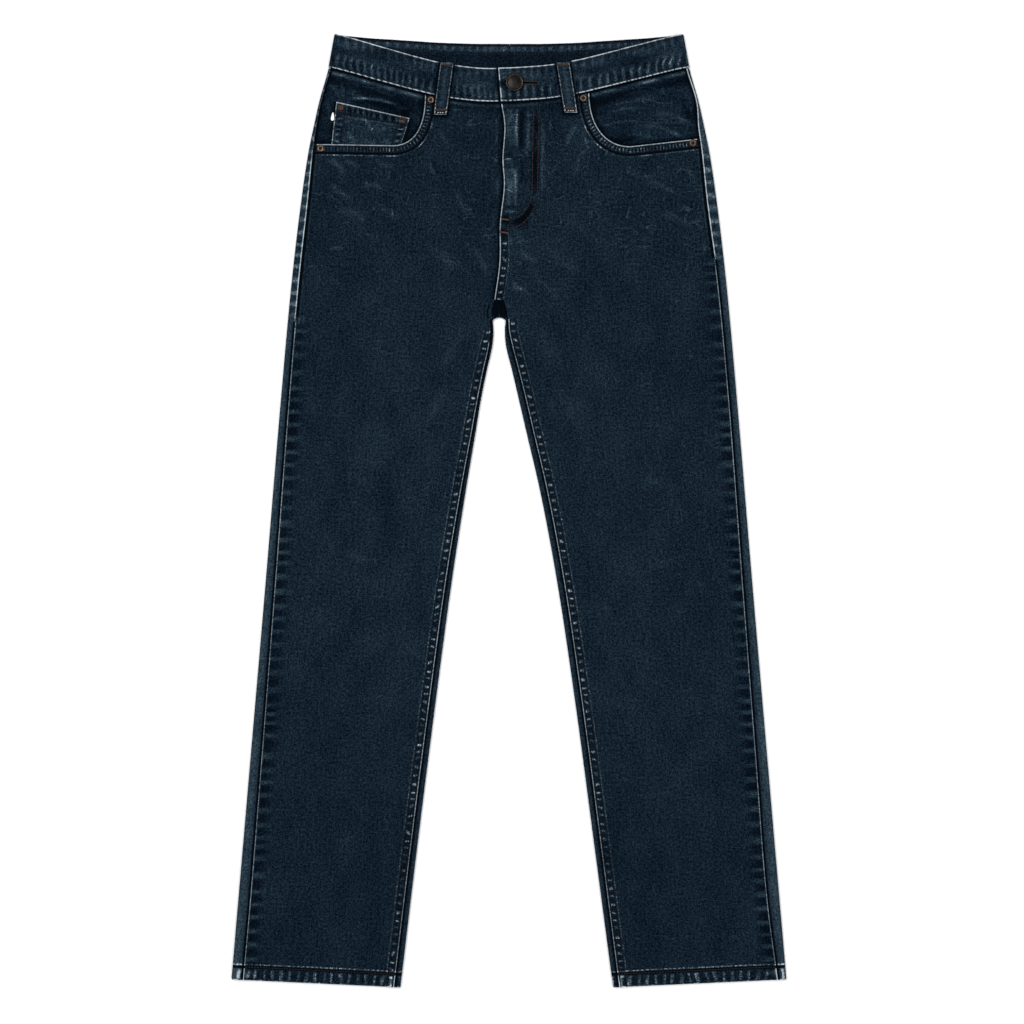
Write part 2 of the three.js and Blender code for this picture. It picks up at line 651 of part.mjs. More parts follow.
function waistband(side) {
  const { sign } = side;
  const radius = BAND_FOLD / 2;
  const endX = side === LEFT ? (w) => lerp(CENTRE_FRONT, flyX(462), w) : () => UNDERLAP_END;
  const foldX = (w) => sign * (lerp(WAIST.frontTop.half, WAIST.frontSeam.half, w) - radius);
  const frontSteps = [1, 0.95, 0.9, 0.84, 0.78, 0.7, 0.62, 0.54, 0.46, 0.38, 0.3, 0.22, 0.15, 0.08, 0];
  const backSteps = [0, 0.08, 0.15, 0.22, 0.28, 0.34, 0.4, 0.46, 0.54, 0.62, 0.7, 0.78, 0.84, 0.9, 0.96, 1];
  const rows = [0, 0.08, 0.5, 0.92, 1].map((w) => {
    const points = [];
    for (const q of frontSteps) {
      const x = lerp(foldX(w), endX(w), q);
      const y = lerp(across(WAIST.frontTop, x), across(WAIST.frontSeam, x), w);
      points.push(clothPoint(x, y, bandLow(side, x), BAND));
    }
    const ySide = lerp(WAIST.frontTop.side, WAIST.frontSeam.side, w);
    for (let k = 1; k < 6; k++) {
      const angle = Math.PI / 2 - (k / 6) * Math.PI;
      const place = (r) =>
        new THREE.Vector3(
          foldX(w) + sign * r * Math.cos(angle),
          ySide,
          radius + r * Math.sin(angle),
        );
      points.push({ out: place(radius), in: place(radius - BAND) });
    }
    for (const q of backSteps) {
      const x = lerp(foldX(w), CENTRE_BACK + (sign * GAP) / 2, q);
      const y = lerp(across(WAIST.backTop, x), across(WAIST.backSeam, x), w);
      const low = rest(x, BAND_Y);
      points.push({ out: new THREE.Vector3(x, y, low), in: new THREE.Vector3(x, y, low + BAND) });
    }
    return points;
  });
  return wall(rows);
}

// ---- Belt loops ----

/** Top of the cloth that a front belt loop lies on. */
function loopGround(side, x, y) {
  const seam = across(WAIST.frontSeam, x);
  const lift = side === LEFT ? leftFrontLift(x, y) : 0;
  const panel = frontLow(side, x, Math.min(y, seam)) + lift + CLOTH + MOUTH_RISE;
  return lerp(panel, bandLow(side, x) + BAND, smooth((y - seam + 14) / 13));
}

function frontLoop(side) {
  const { topX, topY, lowX, lowY } = FRONT_LOOPS[side.name];
  const rows = [0, 0.05, 0.12, 0.3, 0.5, 0.64, 0.7, 0.76, 0.82, 0.88, 0.94, 1].map((v) => {
    const x = lerp(topX, lowX, v);
    const y = lerp(topY - 1, lowY, v);
    const arch = 0.5 * Math.sin(Math.PI * clamp01(v / 0.66));
    const ground = Math.max(...[-1, 0, 1].map((u) => loopGround(side, x + (u * LOOP.width) / 2, y)));
    return [-0.5, -0.3, 0.3, 0.5].map((u) =>
      clothPoint(x + u * LOOP.width, y, ground + GAP + arch, LOOP.thick - (Math.abs(u) > 0.4 ? 0.5 : 0)),
    );
  });
  return wall(rows);
}

function backLoop(x) {
  const top = across(WAIST.backTop, x) - 1;
  const bottom = across(WAIST.backSeam, x) - LOOP.below;
  const shape = new THREE.Shape();
  shape.moveTo(x - LOOP.width / 2, bottom);
  shape.lineTo(x + LOOP.width / 2, bottom);
  shape.lineTo(x + LOOP.width / 2, top);
  shape.lineTo(x - LOOP.width / 2, top);
  shape.closePath();
  return new THREE.ExtrudeGeometry(shape, { depth: LOOP.backThick, bevelEnabled: false });
}

// ---- Zip, button and rivets ----

function flyZip() {
  const rows = [];
  for (let k = 0; k <= 12; k++) {
    const y = lerp(ZIP.top, ZIP.bottom, k / 12);
    const row = [0, 0.33, 0.67, 1].map((u) => {
      const x = flyX(y) + ZIP.left + u * ZIP.width;
      return clothPoint(x, y, frontLow(LEFT, x, y), CLOTH);
    });
    rows.push(row);
  }
  return wall(rows);
}

/** A dished button cap on a shank that ends just above the lower layer of the waistband. */
function flyButton() {
  const { x, y, radius, height, rim, shank } = BUTTON;
  const seat = bandLow(LEFT, x) + BAND + GAP;
  const foot = bandLow(RIGHT, x) + BAND + GAP;
  const profile = [
    [0, foot],
    [shank, foot],
    [shank, seat],
    [radius - 1, seat],
    [radius, seat + 1],
    [radius, seat + height - 0.7],
    [radius - 0.7, seat + height],
    [radius - rim, seat + height - 0.1],
    [radius - rim - 0.9, seat + height - 0.8],
    [radius / 2, seat + height - 0.5],
    [0, seat + height - 0.4],
  ];
  const points = profile.map(([r, z]) => new THREE.Vector2(r, z));
  return turned(points, 32).translate(x, y, 0);
}

/** A solid turned about +Z from a profile of radius and height. */
function turned(points, sides) {
  const lathe = new THREE.LatheGeometry(points, sides);
  return lathe.rotateX(Math.PI / 2);
}

/** The four rivets, at both ends of each pocket mouth. */
function rivetPlaces(side) {
  const m = MOUTHS[side.name];
  const sideX = side.sign * (halfWidth(m.sideY) - outseam[side.name](m.sideY) - RIVET.fromSide);
  const frontY = across(WAIST.frontSeam, m.topX) - RIVET.fromBand;
  return {
    side: new THREE.Vector2(sideX, m.sideY - MOUTH_BAND / 2),
    front: new THREE.Vector2(m.topX - side.sign * RIVET.fromMouth, frontY),
  };
}

function rivet(side, at) {
  const lift = side === LEFT ? leftFrontLift(at.x, at.y) : 0;
  const around = [-1, 0, 1].flatMap((i) => [-1, 0, 1].map((j) => [i * RIVET.radius, j * RIVET.radius]));
  const tops = around.map(([dx, dy]) => frontLow(side, at.x + dx, at.y + dy));
  const ground = Math.max(...tops) + lift + CLOTH + MOUTH_RISE + GAP;
  const { radius, height } = RIVET;
  const points = [
    [0, 0],
    [radius, 0],
    [radius, 0.5],
    [radius * 0.85, height * 0.8],
    [radius * 0.6, height],
    [radius * 0.35, height * 0.75],
    [0, height * 0.7],
  ].map(([r, z]) => new THREE.Vector2(r, z + ground));
  return turned(points, 16).translate(at.x, at.y, 0);
}

// ---- Buttonhole ----

const wasm = await Module();
wasm.setup();

/** A closed geometry as a solid, with its shared corners merged. */
function solid(geometry) {
  const source = geometry.index ? geometry.toNonIndexed() : geometry;
  const { array } = source.getAttribute("position");
  const ids = new Map();
  const vertices = [];
  const triVerts = new Uint32Array(array.length / 3);
  for (let i = 0; i < triVerts.length; i++) {
    const point = [array[3 * i], array[3 * i + 1], array[3 * i + 2]];
    const key = point.map((value) => Math.round(value * 1000)).join();
    if (!ids.has(key)) {
      ids.set(key, vertices.length / 3);
      vertices.push(...point);
    }
    triVerts[i] = ids.get(key);
  }
  const kept = [];
  for (let i = 0; i < triVerts.length; i += 3) {
    const [a, b, c] = triVerts.slice(i, i + 3);
    if (a !== b && b !== c && c !== a) kept.push(a, b, c);
  }
  const vertProperties = new Float32Array(vertices);
  return new wasm.Manifold(new wasm.Mesh({ numProp: 3, vertProperties, triVerts: new Uint32Array(kept) }));
}

/** A solid back as a geometry. */
function geometryOf(made) {
  const { vertProperties, triVerts } = made.getMesh();
  const geometry = new THREE.BufferGeometry();
  geometry.setAttribute("position", new THREE.BufferAttribute(vertProperties, 3));
  geometry.setIndex(new THREE.BufferAttribute(triVerts, 1));
  geometry.computeVertexNormals();
  return geometry;
}

/** The left waistband with its keyhole: a round eye for the button's shank and a slit away from the end. */
function buttonholed(band) {
  const { x, y, hole } = BUTTON;
  const half = KEYHOLE.width / 2;
  const angle = Math.asin(half / hole);
  const outline = new THREE.Shape();
  outline.absarc(x, y, hole, angle, 2 * Math.PI - angle, false);
  outline.lineTo(KEYHOLE.end - half, y - half);
  outline.absarc(KEYHOLE.end - half, y, half, -Math.PI / 2, Math.PI / 2, false);
  outline.closePath();
  const options = { depth: 20, bevelEnabled: false, curveSegments: 20 };
  return geometryOf(solid(band).subtract(solid(new THREE.ExtrudeGeometry(outline, options))));
}

// ---- The garment ----

const finish = (color, roughness, metalness = 0) => ({ color, roughness, metalness });
const DENIM = finish(0x16242f, 0.9);
const DENIM_DARK = finish(0x111c26, 0.9);
const TAPE = finish(0x10161d, 0.8);
const WHITE = finish(0xe8e8e4, 0.8);
const BRASS = finish(0x4a3c2c, 0.45, 0.9);
const COPPER = finish(0x7a4a2c, 0.4, 0.9);

const jeans = new THREE.Group();
jeans.name = "slim_fit_jeans";

function add(name, geometry, look) {
  const mesh = new THREE.Mesh(geometry, new THREE.MeshStandardMaterial(look));
  mesh.name = name;
  jeans.add(mesh);
}

for (const side of [RIGHT, LEFT]) {
  add("front_" + side.name, frontPanel(side), DENIM);
  add("back_" + side.name, backPanel(side), DENIM);
  add("yoke_" + side.name, yoke(side), DENIM);
  const band = waistband(side);
  add("waistband_" + side.name, side === LEFT ? buttonholed(band) : band, DENIM_DARK);
  add("pocket_facing_" + side.name, facing(side), DENIM);
  add("back_pocket_" + side.name, backPocket(side), DENIM);
  add("belt_loop_front_" + side.name, frontLoop(side), DENIM_DARK);
  for (const [end, at] of Object.entries(rivetPlaces(side)))
    add("rivet_" + side.name + "_" + end, rivet(side, at), COPPER);
}
for (const [place, x] of Object.entries(BACK_LOOPS)) add("belt_loop_" + place, backLoop(x), DENIM_DARK);
add("coin_pocket", coinPocket(), DENIM);
add("coin_pocket_tab", coinTab(), WHITE);
add("fly_zip", flyZip(), TAPE);
add("fly_button", flyButton(), BRASS);

export default jeans;
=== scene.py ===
"""Slim fit jeans laid flat, front up: worn denim, seams, stitching, button and rivets."""

import math
from collections import namedtuple

import bmesh
import bpy
import numpy as np
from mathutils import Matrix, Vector
from mathutils.bvhtree import BVHTree


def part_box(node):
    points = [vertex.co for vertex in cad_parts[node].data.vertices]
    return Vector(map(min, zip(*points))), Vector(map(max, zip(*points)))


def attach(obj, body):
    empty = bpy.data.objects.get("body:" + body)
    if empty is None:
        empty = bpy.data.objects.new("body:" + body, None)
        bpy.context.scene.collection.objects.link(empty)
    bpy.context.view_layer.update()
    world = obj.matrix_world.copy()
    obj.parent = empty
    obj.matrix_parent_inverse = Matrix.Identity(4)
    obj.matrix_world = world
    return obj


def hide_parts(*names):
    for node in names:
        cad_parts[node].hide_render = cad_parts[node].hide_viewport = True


bl_info = {
    "name": "Slim fit jeans",
    "version": (1, 0, 0),
    "blender": (4, 5, 0),
    "location": "View3D > Sidebar > Jeans",
    "description": "Finishes a pair of slim fit jeans laid flat",
    "category": "Object",
}

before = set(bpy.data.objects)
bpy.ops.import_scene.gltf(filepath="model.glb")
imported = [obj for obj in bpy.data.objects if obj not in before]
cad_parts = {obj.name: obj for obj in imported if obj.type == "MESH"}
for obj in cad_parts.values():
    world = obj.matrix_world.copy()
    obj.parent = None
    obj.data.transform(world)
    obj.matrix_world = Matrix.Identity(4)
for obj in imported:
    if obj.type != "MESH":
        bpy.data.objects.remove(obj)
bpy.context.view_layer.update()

MM = 0.001

# ---- Sizes in millimetres, as the garment was cut ----

CLOTH = 1.2
BAND = 2.6
HEM = 2.4
HEM_DEPTH = 16
AIR = 0.6
GAP = 0.3
CLEAR = 0.4
FOLD = 6
BAND_FOLD = 7
FOLD_EASE = 45
BAND_EASE = 32
CENTRE_FRONT = -12
CENTRE_BACK = 1
BAND_Y = 520
BAND_DEPTH = 38
BAND_FOOT_Y = 462
YOKE_DEPTH = 70
YOKE_SIDE_Y = 461
YOKE_SIDE_REACH = 210
HIP_Y = 350
CROTCH_Y, CROTCH_OUTER_Y = 238, 250
SEAT_FOLD_Y = 218.1
SEAT_CORNER = (7.2, 4.1)
FELL = 9.8
FELL_RISE = 0.5
MOUTH_RISE = 0.5
MOUTH_SHARE = 0.7
FACING_PAST_MOUTH = 14
FLY_FLAP = 10.5
FLY_UNDER = 3
HEM_SLANT = -9
HEM_Y = -528.5
LEG_TOP_Y, LEG_STEP = 209, 2.4
INSEAM_STRAIGHT_Y = 187
UNDERLAP_END = 20
ZIP_LEFT, ZIP_WIDTH, ZIP_TOP, ZIP_BOTTOM = 4, 26, 455, 276
LOOP_WIDTH, LOOP_THICK, LOOP_BACK_THICK = 14.5, 2.2, 1.6
BUTTON_X, BUTTON_Y, BUTTON_R, BUTTON_HEIGHT = 6.4, 482.4, 10, 3.2
HOLE_R, SLIT_END, SLIT_WIDTH, HOLE_CUT = 4.6, 33, 2.6, (4.5, 20)
RIVET_R = 4

Side = namedtuple("Side", "name sign")
RIGHT, LEFT = Side("right", -1), Side("left", 1)
Edge = namedtuple("Edge", "side half dip power middle")
Mouth = namedtuple("Mouth", "top_x belly_x belly_y side_y corner")
Box = namedtuple("Box", "x y half_x half_y margin ease lift")

FRONT_TOP = Edge(538.3, 197.0, 39.0, 1.2, CENTRE_FRONT)
FRONT_SEAM = Edge(500.6, 203.8, 38.8, 1.2, CENTRE_FRONT)
BACK_TOP = Edge(538.4, 197.0, 11.3, 0.8, CENTRE_BACK)
BACK_SEAM = Edge(500.6, 203.8, 11.3, 0.8, CENTRE_BACK)
MOUTHS = {
    "right": Mouth(-94.5, -131, 412.2, 413.7, 0.66),
    "left": Mouth(90.5, 137, 411.2, 420.0, 0.62),
}
FRONT_LOOPS = {"right": (-69.8, 506.2, -77.6, 446.9), "left": (60.9, 506.2, 70.0, 449.3)}
LOOP_GAUGE = 4.8
BACK_LOOPS = {"back_right": -118, "centre": CENTRE_BACK, "back_left": 118}
COIN = {
    "top": ((-194.6, 461.9), (-112.1, 443.2)),
    "low": ((-201.2, 405.0), (-124.3, 405.0)),
    "width": 79.0, "height": 45.0, "thick": 1.0,
}
TAB = {"x": -199.2, "y": 445, "width": 4, "length": 9}
POCKET_X = 118
POCKET = {
    "x": POCKET_X, "top": 412, "height": 150, "width": 140,
    "taper": 8, "tip": 24, "thick": 1.1, "tilt": 0.03,
}

# ---- Stitch rows and tacks, in millimetres from the edge that they follow ----

FELL_ROWS = (1.6, 8.4)
MOUTH_ROWS = (1.8, 8.2)
RISE_ROWS, RISE_ENDS = (1.6, 8.2), (313, 241)
BACK_ROWS = (2.0, 8.4)
SEAT_POCKET_ROWS, SEAT_POCKET_HEM_ROWS = (1.8, 7.6), (2.2, 14)
COIN_HEM_ROWS, COIN_SIDE_ROWS = (2.2, 9.4), (1.5, 10.4)
WAIST_ROW, SEAM_ROW = -2.3, 2.6
HEM_ROW, HEM_ROW_UNDER = 14.8, 15
BOLD = 2.3
TACK_PITCH, TACK_RADIUS = 0.62, 0.32


def table(names, *rows):
    """Rows of numbers as named columns."""
    return dict(zip(names.split(), np.array(rows, float).T))


SIDES = table(
    "y half right left",
    (539, 196.8, 2.3, 4.0),
    (500, 203.6, 2.3, 3.6),
    (462, 214.2, 2.2, 2.8),
    (434, 220.4, 3.2, 6.8),
    (407, 226.0, 5.0, 8.6),
    (351, 234.4, 7.6, 11.0),
    (260, 245.2, 8.4, 9.6),
    (125, 257.6, 9.2, 9.2),
    (-79, 274.6, 10.8, 10.8),
    (-282, 292.1, 12.6, 12.8),
    (-440, 305.8, 13.6, 13.9),
    (-530, 313.5, 13.2, 9.7),
)
INSIDES = table(
    "y mid gap right left",
    (214, -11, 7.2, 3.2, 3.4),
    (204, -11, 6.4, 3.3, 4.6),
    (187, -11, 7.6, 3.8, 6.9),
    (159, -10.7, 14.1, 3.7, 7.4),
    (125, -10.2, 21.5, 3.6, 7.9),
    (91, -9.0, 28.2, 4.2, 7.9),
    (23, -6.8, 41.8, 5.4, 7.8),
    (-79, -5.1, 59.3, 6.5, 7.6),
    (-214, -4.0, 78.5, 6.8, 7.4),
    (-384, -3.4, 100.6, 7.0, 7.2),
    (-538, -2.4, 120.0, 7.2, 6.9),
)
FLY = table("y x", (462, -9), (436, -5), (396, -7.2), (369, -5.5), (326, -10), (281, -10.6), (238, -16.3))
SEAT_SEAM = table(
    "turn out y outer",
    (0, 10.4, 214, 225),
    (30, 8.2, 227, 238),
    (60, 5, 237.9, 250),
    (90, 0.15, 237.9, 260),
)


join = np.concatenate


def points_of(*coordinates):
    """Points from their coordinates, which are spread over the whole row or grid."""
    return np.stack(np.broadcast_arrays(*coordinates), -1)


def split(points):
    """The coordinates of points, each as a row or grid of its own."""
    return np.moveaxis(points, -1, 0)


def spaced(start, end, steps):
    """Evenly spaced values, both ends with them."""
    return np.linspace(start, end, steps + 1)


def graded(*parts):
    """Steps given one by one, or as spans of a start, an end and a count."""
    return join([spaced(*part) if isinstance(part, tuple) else [part] for part in parts])


def ease(t):
    """0 up to 0 and 1 from 1, with a smooth rise between."""
    t = np.clip(t, 0, 1)
    return t * t * (3 - 2 * t)


def fall(t):
    """1 at a seam, easing to 0."""
    return (1 - np.clip(t, 0, 1)) ** 2


def ridge(off, width):
    """1 on a line, and next to nothing two widths off it."""
    return np.exp(-((off / width) ** 2))


def mix(a, b, t):
    """a at 0, b at 1."""
    return a + (b - a) * t


def column(rows, key, by="y"):
    """One column of a table as a smooth curve of another."""
    order = np.argsort(rows[by])
    ys, vs = rows[by][order], rows[key][order]
    rates = np.diff(vs) / np.diff(ys)
    tangents = join([rates[:1], (rates[1:] + rates[:-1]) / 2, rates[-1:]])

    def curve(y):
        y = np.clip(y, ys[0], ys[-1])
        i = np.clip(np.searchsorted(ys, y, side="right") - 1, 0, len(rates) - 1)
        step = ys[i + 1] - ys[i]
        t = (y - ys[i]) / step
        a, b, ta, tb = vs[i], vs[i + 1], tangents[i] * step, tangents[i + 1] * step
        return a + t * (ta + t * (3 * (b - a) - 2 * ta - tb + t * (2 * (a - b) + ta + tb)))

    return curve


half_width = column(SIDES, "half")
middle = column(INSIDES, "mid")
half_gap = column(INSIDES, "gap")
fly_x = column(FLY, "x")
OUTSEAM = {"right": column(SIDES, "right"), "left": column(SIDES, "left")}
INSEAM = {"right": column(INSIDES, "right"), "left": column(INSIDES, "left")}


def across(edge, x):
    """Height at x of an edge that runs across the waist."""
    left = np.asarray(x) >= edge.middle
    away = np.where(left, edge.half - x, edge.half + x)
    reach = np.where(left, edge.half - edge.middle, edge.half + edge.middle)
    return edge.side - edge.dip * np.sin(np.pi / 2 * np.clip(away / reach, 0, 1)) ** edge.power


def from_side(side, x, y):
    """Distance of a point on a front from its outseam."""
    return half_width(y) - OUTSEAM[side.name](y) - side.sign * x


def from_inner(side, x, y):
    """Distance from the inseam, or above it from the corner of the crotch."""
    out = side.sign * (x - middle(y))
    below = out - half_gap(y) - INSEAM[side.name](y)
    above = np.hypot(np.maximum(0, out - SEAT_SEAM["out"][2]), np.maximum(0, y - CROTCH_Y))
    return np.where(y < SEAT_FOLD_Y, below, above)


def centre_back(y):
    """x of the seam down the middle of the back."""
    return mix(middle(SEAT_FOLD_Y), CENTRE_BACK, np.clip((y - SEAT_FOLD_Y) / (500 - SEAT_FOLD_Y), 0, 1))


def yoke_seam(x):
    """Height at x of the seam under the yokes."""
    centre_y = BACK_SEAM.side - BACK_SEAM.dip - YOKE_DEPTH
    centre_x = centre_back(centre_y)
    reach = YOKE_SIDE_REACH - np.sign(x - centre_x) * centre_x
    return mix(centre_y, YOKE_SIDE_Y, np.clip(abs(x - centre_x) / reach, 0, 1))


# ---- How the layers lie ----


def over(x, y, box):
    """1 over a box, easing to 0 past a margin round it."""
    dx = np.maximum(0, abs(x - box.x) - box.half_x - box.margin)
    dy = np.maximum(0, abs(y - box.y) - box.half_y - box.margin)
    return 1 - ease(np.hypot(dx, dy) / box.ease)


UNDER_PIECES = [
    Box(
        sign * POCKET["x"], POCKET["top"] - POCKET["height"] / 2,
        POCKET["width"] / 2, POCKET["height"] / 2,
        margin=10, ease=32, lift=POCKET["thick"] + GAP,
    )
    for sign in (-1, 1)
] + [Box(x, 509, LOOP_WIDTH / 2, 30, 5, 26, LOOP_BACK_THICK + GAP) for x in BACK_LOOPS.values()]
FACING_BOXES = {"right": Box(-165, 455, 72, 57, 4, 34, 0), "left": Box(165, 455, 76, 57, 4, 34, 0)}
COIN_BOX = Box(-160, 430, 42, 25, 4, 30, 0)


def rest(x, y):
    """Underside of the back layer: on the floor, but for the pockets and loops under it."""
    return np.max([box.lift * over(x, y, box) for box in UNDER_PIECES], axis=0)


def facing_low(side, x, y):
    """Underside of a pocket facing."""
    return rest(x, y) + CLOTH + AIR + 1.5 * fall(from_side(side, x, y) / 20)


def coin_low(x, y):
    """Underside of the coin pocket."""
    return facing_low(RIGHT, x, y) + CLOTH + AIR


def front_low(side, x, y):
    """Underside of a leg front."""
    base = CLOTH + AIR
    edge = np.minimum(from_side(side, x, y), from_inner(side, x, y))
    on_edges = base + (FOLD - CLOTH - base) * fall(edge / FOLD_EASE)
    facing_top = facing_low(side, x, y) - rest(x, y) + CLOTH
    facing = over(x, y, FACING_BOXES[side.name])
    coin = over(x, y, COIN_BOX) if side is RIGHT else 0
    on_coin = (facing_top + AIR + COIN["thick"] + CLEAR) * coin
    lean = 1.2 * fall((across(FRONT_SEAM, x) - y) / 25) * (1 - facing)
    return rest(x, y) + np.maximum(np.maximum(on_edges, (facing_top + CLEAR) * facing), on_coin) + lean


def fly_lift(side, x, y):
    """The left front lies over the edge of the right one and over the zip."""
    if side is RIGHT:
        return 0 * x
    width = mix(16, ZIP_LEFT + ZIP_WIDTH + 12, ease((y - 250) / 18))
    return (CLOTH + CLEAR) * (1 - ease((x - fly_x(y) - width) / 30))


def band_low(side, x):
    """Underside of the waistband's front layer."""
    at_fold = fall((FRONT_TOP.half - abs(x)) / BAND_EASE)
    low = rest(x, BAND_Y) + BAND + AIR + (BAND_FOLD - BAND - BAND - AIR) * at_fold
    lapped = 1 - ease((x - UNDERLAP_END - 2) / BAND_EASE) if side is LEFT else 0
    return low + (BAND + AIR) * lapped


# ---- Worn cloth and painted shade: small noise, bars along the seams, creases, rubbed places and shade beside what lies on the cloth ----


def lattice(i, j, seed):
    """A fixed number from -1 to 1 for each cell of a lattice."""
    n = (i.astype(np.int64) * 73856093) ^ (j.astype(np.int64) * 19349663) ^ (int(seed) * 83492791)
    n = (n ^ (n >> 13)) * 1274126177 & 0x7FFFFFFF
    return (n ^ (n >> 16)) % 20011 / 10005 - 1


def noise(x, y, seed):
    """Smooth noise from -1 to 1 with cells of size 1."""
    x, y = np.broadcast_arrays(np.asarray(x, float), np.asarray(y, float))
    i, j = np.floor(x), np.floor(y)
    u, v = ease(x - i), ease(y - j)
    low = mix(lattice(i, j, seed), lattice(i + 1, j, seed), u)
    high = mix(lattice(i, j + 1, seed), lattice(i + 1, j + 1, seed), u)
    return mix(low, high, v)


def bars(run, period, seed):
    """Crests and troughs along a seam, from 1 to -1, uneven in spacing and height."""
    drift = 0.5 * noise(run / (2.3 * period), 0.5, seed)
    height = 0.72 + 0.28 * noise(run / (1.7 * period), 7.5, seed)
    return height * np.sin(2 * np.pi * (run / period + drift))


def bump(t):
    """1 in the middle, 0 at a distance of 1."""
    return ease(1 - abs(t))


def strokes(rows, x, y):
    """Soft strokes, given one by one: each bows from one end to the other and fades at both."""
    total = np.zeros_like(x)
    for x0, y0, x1, y1, bow, width, gain in zip(*rows.values()):
        length = math.hypot(x1 - x0, y1 - y0)
        ux, uy = (x1 - x0) / length, (y1 - y0) / length
        t = ((x - x0) * ux + (y - y0) * uy) / length
        inside = np.clip(t, 0, 1)
        off = (y - y0) * ux - (x - x0) * uy - 4 * bow * inside * (1 - inside)
        total += gain * ridge(off, width) * ease(t * 4) * ease((1 - t) * 4)
    return total


def patches(rows, x, y):
    """Soft patches, given one by one."""
    total = np.zeros_like(x)
    for cx, cy, half_x, half_y, soft, gain in zip(*rows.values()):
        off = np.hypot(np.maximum(0, abs(x - cx) - half_x), np.maximum(0, abs(y - cy) - half_y))
        total += gain * (1 - ease(off / soft))
    return total


STROKE = "x0 y0 x1 y1 bow width gain"
PATCH = "x y half_x half_y soft gain"
CREASES = table(
    STROKE,
    # wearer's right hip, below the pocket
    (-206, 398, -184, 378, 3, 2.2, 0.35),
    (-186, 396, -168, 384, 2, 2.0, 0.30),
    (-150, 396, -128, 388, -2, 2.4, 0.22),
    (-203, 372, -176, 352, -3, 2.6, 0.28),
    (-170, 368, -140, 362, 3, 3.0, 0.20),
    (-196, 340, -160, 326, 4, 3.4, 0.16),
    (-152, 352, -118, 330, -4, 3.2, 0.18),
    (-60, 366, -38, 330, -4, 3.2, 0.18),
    (-44, 300, -24, 262, 4, 3.0, 0.20),
    (-70, 286, -36, 250, 5, 3.2, 0.10),
    (-96, 300, -58, 268, 4, 4.0, 0.12),
    (-84, 430, -66, 404, 4, 2.8, 0.16),
    # wearer's left hip
    (80, 438, 66, 408, -4, 2.4, 0.30),
    (92, 414, 76, 376, -5, 3.2, 0.18),
    (128, 388, 168, 378, -4, 2.6, 0.20),
    (150, 372, 190, 356, 4, 3.2, 0.18),
    (196, 388, 212, 366, 3, 2.8, 0.18),
    (170, 336, 210, 318, 4, 3.4, 0.16),
    (12, 296, 34, 282, -3, 2.4, 0.22),
    (4, 262, 20, 250, -4, 1.8, 0.30),
    (26, 276, 58, 244, -5, 3.0, 0.12),
    (44, 300, 86, 268, -5, 3.8, 0.10),
    (70, 330, 116, 300, -4, 4.0, 0.08),
    (-2, 252, 26, 244, 2, 1.6, 0.24),
    # inner thighs and knees
    (-52, 214, -82, 160, 6, 5.0, 0.08),
    (34, 214, 66, 160, -6, 5.0, 0.08),
    (-72, 150, -98, 92, 5, 6.0, 0.06),
    (58, 146, 88, 84, -5, 6.0, 0.06),
    (-196, 40, -150, 26, 4, 5.0, 0.08),
    (146, 34, 196, 20, 4, 5.0, 0.09),
    (-188, -44, -142, -56, -4, 5.0, 0.08),
    (150, -60, 204, -48, -4, 5.0, 0.08),
    (-120, -150, -92, -178, 4, 5.0, 0.07),
    (106, -214, 142, -230, 3, 4.0, 0.07),
)
POCKET_CREASES = table(
    STROKE,
    (102, 432, 152, 438, 5, 1.4, 0.26),
    (106, 446, 158, 454, 4, 1.6, 0.20),
    (98, 418, 150, 424, -3, 2.6, -0.26),
    (150, 436, 198, 420, 4, 1.5, 0.24),
    (112, 456, 168, 464, 3, 1.4, 0.18),
    (160, 448, 206, 436, 5, 1.7, 0.18),
    (176, 430, 212, 408, 3, 1.5, 0.26),
    (130, 424, 172, 418, 3, 1.3, 0.20),
    (122, 466, 186, 476, 3, 1.8, 0.18),
    (96, 440, 110, 426, -3, 3.0, -0.24),
    (196, 470, 208, 440, -3, 2.4, -0.20),
    (186, 444, 214, 430, 3, 1.3, 0.22),
    (-206, 486, -190, 462, 3, 1.5, 0.24),
    (-212, 470, -200, 440, 2, 1.4, 0.22),
    (-184, 482, -126, 466, 3, 1.6, 0.18),
    (-170, 474, -120, 458, -4, 3.0, -0.22),
    (-128, 462, -100, 444, 3, 2.2, -0.26),
    (-108, 452, -98, 424, 2, 1.5, 0.20),
)
FLY_MARKS = table(
    STROKE,
    (11, 460, 10.5, 404, -2.2, 1.1, 0.52),
    (16, 458, 14.5, 402, -1.5, 3.0, -0.34),
    (-5, 397.5, 4, 397.5, 0, 1.1, 0.50),
    (-5, 402.5, 5, 401.5, 0, 1.4, -0.30),
    (-5, 393.5, 4, 393.5, 0, 1.0, 0.30),
    (-6, 337, 9, 338, 1, 1.3, 0.44),
    (-13.5, 448, -13.5, 410, -1, 1.2, 0.40),
    (-12, 380, -12, 352, -1, 2.6, 0.26),
    (-14, 346, -20, 318, 2, 2.6, 0.18),
    (-16, 320, -12, 298, 1, 2.0, 0.24),
    (22, 352, 12, 330, 2, 1.2, 0.34),
    (38.6, 450, 37, 352, 0, 2.2, 0.28),
    (31.0, 458, 29.2, 352, 0, 4.6, -0.38),
    (22.6, 446, 22, 400, 0, 2.2, 0.34),
    (14, 398, 14, 366, 1, 2.4, -0.20),
    (10, 392, 9.5, 352, -1.5, 1.4, 0.24),
    (27, 353, 2, 321, 5, 4.6, -0.42),
    (-9, 329, 1, 328.6, 0, 3.4, -0.50),
    (-11, 314.8, -1, 314, 0, 3.4, -0.50),
    (6, 302, 22, 304, 1, 1.6, 0.24),
    (2, 310, 3, 300, 0, 1.4, 0.30),
    (14, 404, 26, 398, 0, 6.0, -0.12),
)
